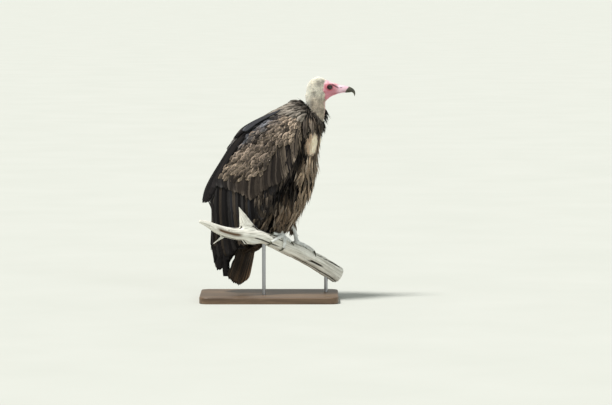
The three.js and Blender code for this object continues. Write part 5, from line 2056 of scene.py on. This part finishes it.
# %% Toe and claw paths
# Pads and toes as place along the branch and degrees round it; hocks in the bird's frame.
FEET = {
    "right": ([-38, 10], (-26, -28, 34), {
        "middle": ([-31, 108], [-35, 160], 1.0),
        "outer": ([-69, 104], [-74, 158], 0.9),
        "inner": ([-15, 46], [-3, 62], 0.85),
        "hallux": ([-66, 22], [-78, 62], 0.85),
    }),
    "left": ([11, -14], (0, 26, 34), {
        "middle": ([54, 34], [64, 70], 1.0),
        "outer": ([36, -74], [40, -128], 0.9),
        "inner": ([40, -22], [56, -26], 0.85),
        "hallux": ([-6, -88], [-12, -142], 0.85),
    }),
}


def round_branch(along, degrees, out):
    """Points off the limb's middle line, in the branch's frame."""
    height, radius = np.moveaxis(LIMB(along), -1, 0)
    slope = (LIMB(along + 1)[..., 0] - LIMB(along - 1)[..., 0]) / 2
    up = unit(np.stack([-slope, 0 * slope, 1 + 0 * slope], -1))
    turn = np.radians(degrees)
    middle = np.stack([along, 0 * along, height], -1)
    reach = (radius + out)[..., None]
    above = up * reach * np.cos(turn)[..., None]
    aside = np.array([0, -1.0, 0]) * reach * np.sin(turn)[..., None]
    return middle + above + aside


def grip(start, end, out_start, out_end, count):
    s = np.linspace(0, 1, count)
    mix = lambda a, b: a + (b - a) * s
    return round_branch(mix(start[0], end[0]), mix(start[1], end[1]), mix(out_start, out_end))


def outward_of(points):
    """Directions away from the limb's middle line."""
    height = LIMB(points[..., 0])[..., 0]
    return unit(np.stack([0 * height, points[..., 1], points[..., 2] - height], -1))


def lofted(centres, side_size, up_size, sides, upward):
    """A tube whose cross-sections stand square to the bark."""
    ahead = unit(np.gradient(centres, axis=0))
    side = unit(np.cross(ahead, upward))
    top = unit(np.cross(side, ahead))
    angle = np.linspace(0, 2 * math.pi, sides, endpoint=False)[None, :, None]
    return centres[:, None] + side_size[:, None, None] * np.cos(angle) * side[:, None] + (
        up_size[:, None, None] * np.sin(angle) * top[:, None])


print("feet:", list(FEET))

# %% Feet and claws
def over_pad(pad, out):
    """A point over a foot's pad, off the bark by a distance."""
    return round_branch(np.array(float(pad[0])), np.array(float(pad[1])), np.array(out))


def toe_size(length):
    """Half the thickness of a toe at its root, in mm."""
    return 5.4 * (0.7 + 0.3 * length)


def toe_tube(pad, end, length):
    """A knuckled toe along the bark, thinner towards its end."""
    thick = toe_size(length)
    centres = grip(pad, end, thick * 0.8, thick * 0.62, 90)
    s = np.linspace(0, 1, 90)
    joints = np.cos(s * 18) * 0.5 + 0.5
    size = thick * (1 - 0.26 * s) * (1.0 + 0.14 * joints)
    return tube(lofted(centres, size * 0.94, size, 28, outward_of(centres)))


def claw_tube(end, tip, length):
    """A curved horn from a toe's end down to the bark."""
    claw = grip(end, tip, toe_size(length) * 0.62, -1.2, 60)
    s = np.linspace(0, 1, 60)
    curl = 2.6 * np.sin(np.pi * s) * (1 - 0.4 * s)
    claw = claw + outward_of(claw) * curl[:, None]
    size = 3.3 * length**0.5 * (1 - 0.9 * s**1.3)
    size = np.r_[size[0] * 0.86, size[1:]]
    return tube(lofted(claw, size * 0.8, size, 24, outward_of(claw)))


def pad_ball(pad):
    """The ball of the foot, where the toes meet."""
    turn = (np.linspace(0.02, 0.98, 24) * math.pi)[:, None]
    angle = np.linspace(0, 2 * math.pi, 28, endpoint=False)
    ring = [np.sin(turn) * np.cos(angle), np.sin(turn) * np.sin(angle), -np.cos(turn) + 0 * angle]
    return tube(over_pad(pad, 5.0) + np.stack(ring, -1) * 8.6)


def shank_tube(pad, hock):
    """The bare leg, from the pad up to the hock and on into the feathers."""
    low = over_pad(pad, 6.0)
    to_branch = np.array(BRANCH.inverted() @ BIRD)
    top = np.array(hock) @ to_branch[:3, :3].T + to_branch[:3, 3]
    bends = np.array([low, (low + top) / 2 + [1.6, 0.9, 0], top, top + [1.3, 1.3, 16]])
    s = np.linspace(0, 3, 70)
    size = 6.0 - 0.5 * np.sin(s * 1.1) + 0.9 * hump(s - 2, 0.35)
    return tube(tube_along(smooth_rows(np.c_[[0, 1, 2, 3], bends])(s), size * 0.9, size, 32))


for side, (pad, hock, toes) in FEET.items():
    for name, (end, tip, length) in toes.items():
        points, faces = claw_tube(end, tip, length)
        mesh = new_mesh(f"claw_{side}_{name}_horn", placed(points, BRANCH), faces)
        declare(new_piece(mesh.name, mesh, HORN), "horn", f"claw_{side}_{name}")
print("claws:", [f"{side} {name}" for side in FEET for name in FEET[side][2]])


# %% Scutes
def scute_place(b, pad, toes):
    """Place along the nearest toe, in mm, and how much each point lies on that toe's top."""
    bands, on_top = np.zeros(len(b)), np.zeros(len(b))
    nearest = np.full(len(b), 1e9)
    for end, _, _ in toes.values():
        centres = grip(pad, end, 3.4, 3.0, 90)
        run = np.r_[0, np.cumsum(np.linalg.norm(np.diff(centres, axis=0), axis=1))][::3]
        ahead = unit(np.gradient(centres, axis=0))[::3]
        centres = centres[::3]
        gap = np.linalg.norm(b[:, None] - centres[None], axis=2)
        pick = gap.argmin(1)
        own = gap.min(1) < nearest
        nearest = np.minimum(nearest, gap.min(1))
        off = b - centres[pick]
        top_side = ramp((unit(off) * outward_of(centres[pick])).sum(1), -0.1, 0.5)
        bands = np.where(own, run[pick] + (off * ahead[pick]).sum(1), bands)
        on_top = np.where(own, top_side, on_top)
    return bands, on_top


def press_scutes(mesh, pad, toes):
    """Bands across the top of each toe and down the front of the leg, in relief and for the shader."""
    b = local(points_of(mesh), BRANCH)
    bands, on_top = scute_place(b, pad, toes)
    height, radius = LIMB(b[:, 0]).T
    shin = ramp(b[:, 2] - height - radius, 16, 20)
    bands = bands * (1 - shin) + b[:, 2] * shin
    on_top = on_top * (1 - shin) + shin * 0.7
    phase = (bands / 2.5) % 1
    scute = ramp(np.minimum(phase, 1 - phase), 0.0, 0.16)
    scute = 1 - (1 - scute) * on_top
    creases = waves(b, 5, 71) * 0.12
    move = (scute - 1) * 0.55 + 0.2 * np.sin(phase * math.pi) * on_top + creases
    set_points(mesh, points_of(mesh) + normals_of(mesh) * (move * MM)[:, None])
    set_attribute(mesh, "scute", scute)


for side, (pad, hock, toes) in FEET.items():
    parts = [toe_tube(pad, end, length) for end, _, length in toes.values()]
    points, faces = joined(parts + [pad_ball(pad), shank_tube(pad, hock)])
    foot_mesh = remeshed(new_mesh("foot", placed(points, BRANCH), faces), VOXEL["foot"])
    relaxed(foot_mesh, 4)
    press_scutes(foot_mesh, pad, toes)
    declare(new_piece(f"foot_skin_{side}", foot_mesh, LEG), "leg", f"foot_{side}")
    print(f"foot {side}:", len(foot_mesh.polygons), "faces")

# %% [markdown]
# ## Stand
# The stand stays as the CAD made it, with brushed steel rods and an oiled board.

# %% Stand materials
for name, material, slot in (
    ("stand_base", BOARD, "base"),
    ("stand_rod_long", STEEL, "steel"),
    ("stand_rod_short", STEEL, "steel"),
):
    node = frame["nodes"][name]
    node.data.materials.clear()
    node.data.materials.append(material)
    print(name, "is", material.name)

# %% [markdown]
# ## Stage, light and camera
# The light is a soft bright sky, a sun high behind the bird's back that catches crown, nape and mantle,
# and a weak fill from the front. The camera looks from far away with a long lens, which keeps the
# outline nearly parallel.

# %% Floor
HALF_FLOOR = 90  # metres
corners = [(x * HALF_FLOOR, y * HALF_FLOOR, 0) for x, y in ((-1, -1), (1, -1), (1, 1), (-1, 1))]
floor_mesh = new_mesh("floor", corners, [[0, 1, 2, 3]])
floor = new_piece("floor", floor_mesh, FLOOR)
print("floor", 2 * HALF_FLOOR, "m wide")


# %% Camera and lights
def add_sun(name, direction, strength, angle, colour=(1, 1, 1)):
    """A sun that shines from a direction."""
    light = bpy.data.lights.new(name, "SUN")
    light.energy, light.angle, light.color = strength, math.radians(angle), colour
    sun = bpy.data.objects.new(name, light)
    sun.rotation_euler = Vector(direction).to_track_quat("Z", "Y").to_euler()
    bpy.context.scene.collection.objects.link(sun)


CAMERA_PLACE, CAMERA_TILT = (0.10125, -9.978, 0.9665), 86  # metres, degrees up from straight down
SENSOR_WIDTH, LENS = 36.0, 213.9  # mm
scene = bpy.context.scene
camera_data = bpy.data.cameras.new("camera")
camera_data.sensor_width = SENSOR_WIDTH
camera_data.lens = LENS
camera_data.clip_end = 500.0
camera = bpy.data.objects.new("camera", camera_data)
camera.location = CAMERA_PLACE
camera.rotation_euler = (math.radians(CAMERA_TILT), 0, 0)
scene.collection.objects.link(camera)
scene.camera = camera

add_sun("high sun", (-0.34, -0.26, 0.90), 3.6, 12, (1.0, 0.98, 0.95))
add_sun("front fill", (0.5, -0.8, 0.35), 0.3, 14, (0.85, 0.94, 1.0))
world = bpy.data.worlds.new("pale sky")
scene.world = world
world.use_nodes = True
sky = world.node_tree
background = sky.nodes["Background"]
SKY = (0.86, 0.90, 0.86, 1)
SKY_STRENGTH, SEEN_EXTRA = 0.5, 0.47  # the light of the sky, and how much brighter the camera sees it
background.inputs["Color"].default_value = SKY
seen = add_node(sky, "ShaderNodeLightPath").outputs["Is Camera Ray"]
sky.links.new((Maths(sky, seen) * SEEN_EXTRA + SKY_STRENGTH).socket, background.inputs["Strength"])
scene.view_settings.view_transform = "Standard"
print("camera at", tuple(round(x, 2) for x in camera.location))

# %% [markdown]
# ## Leaving only the result
# The feather templates were only patterns, so they go.

# %% Finish
for pattern in ROUND + LANCE + TUFT:
    bpy.data.objects.remove(pattern)
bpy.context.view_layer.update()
total = sum(len(triangles_of(o.data)) for o in bpy.data.objects if o.type == "MESH")
print("whole model:", total, "triangles")
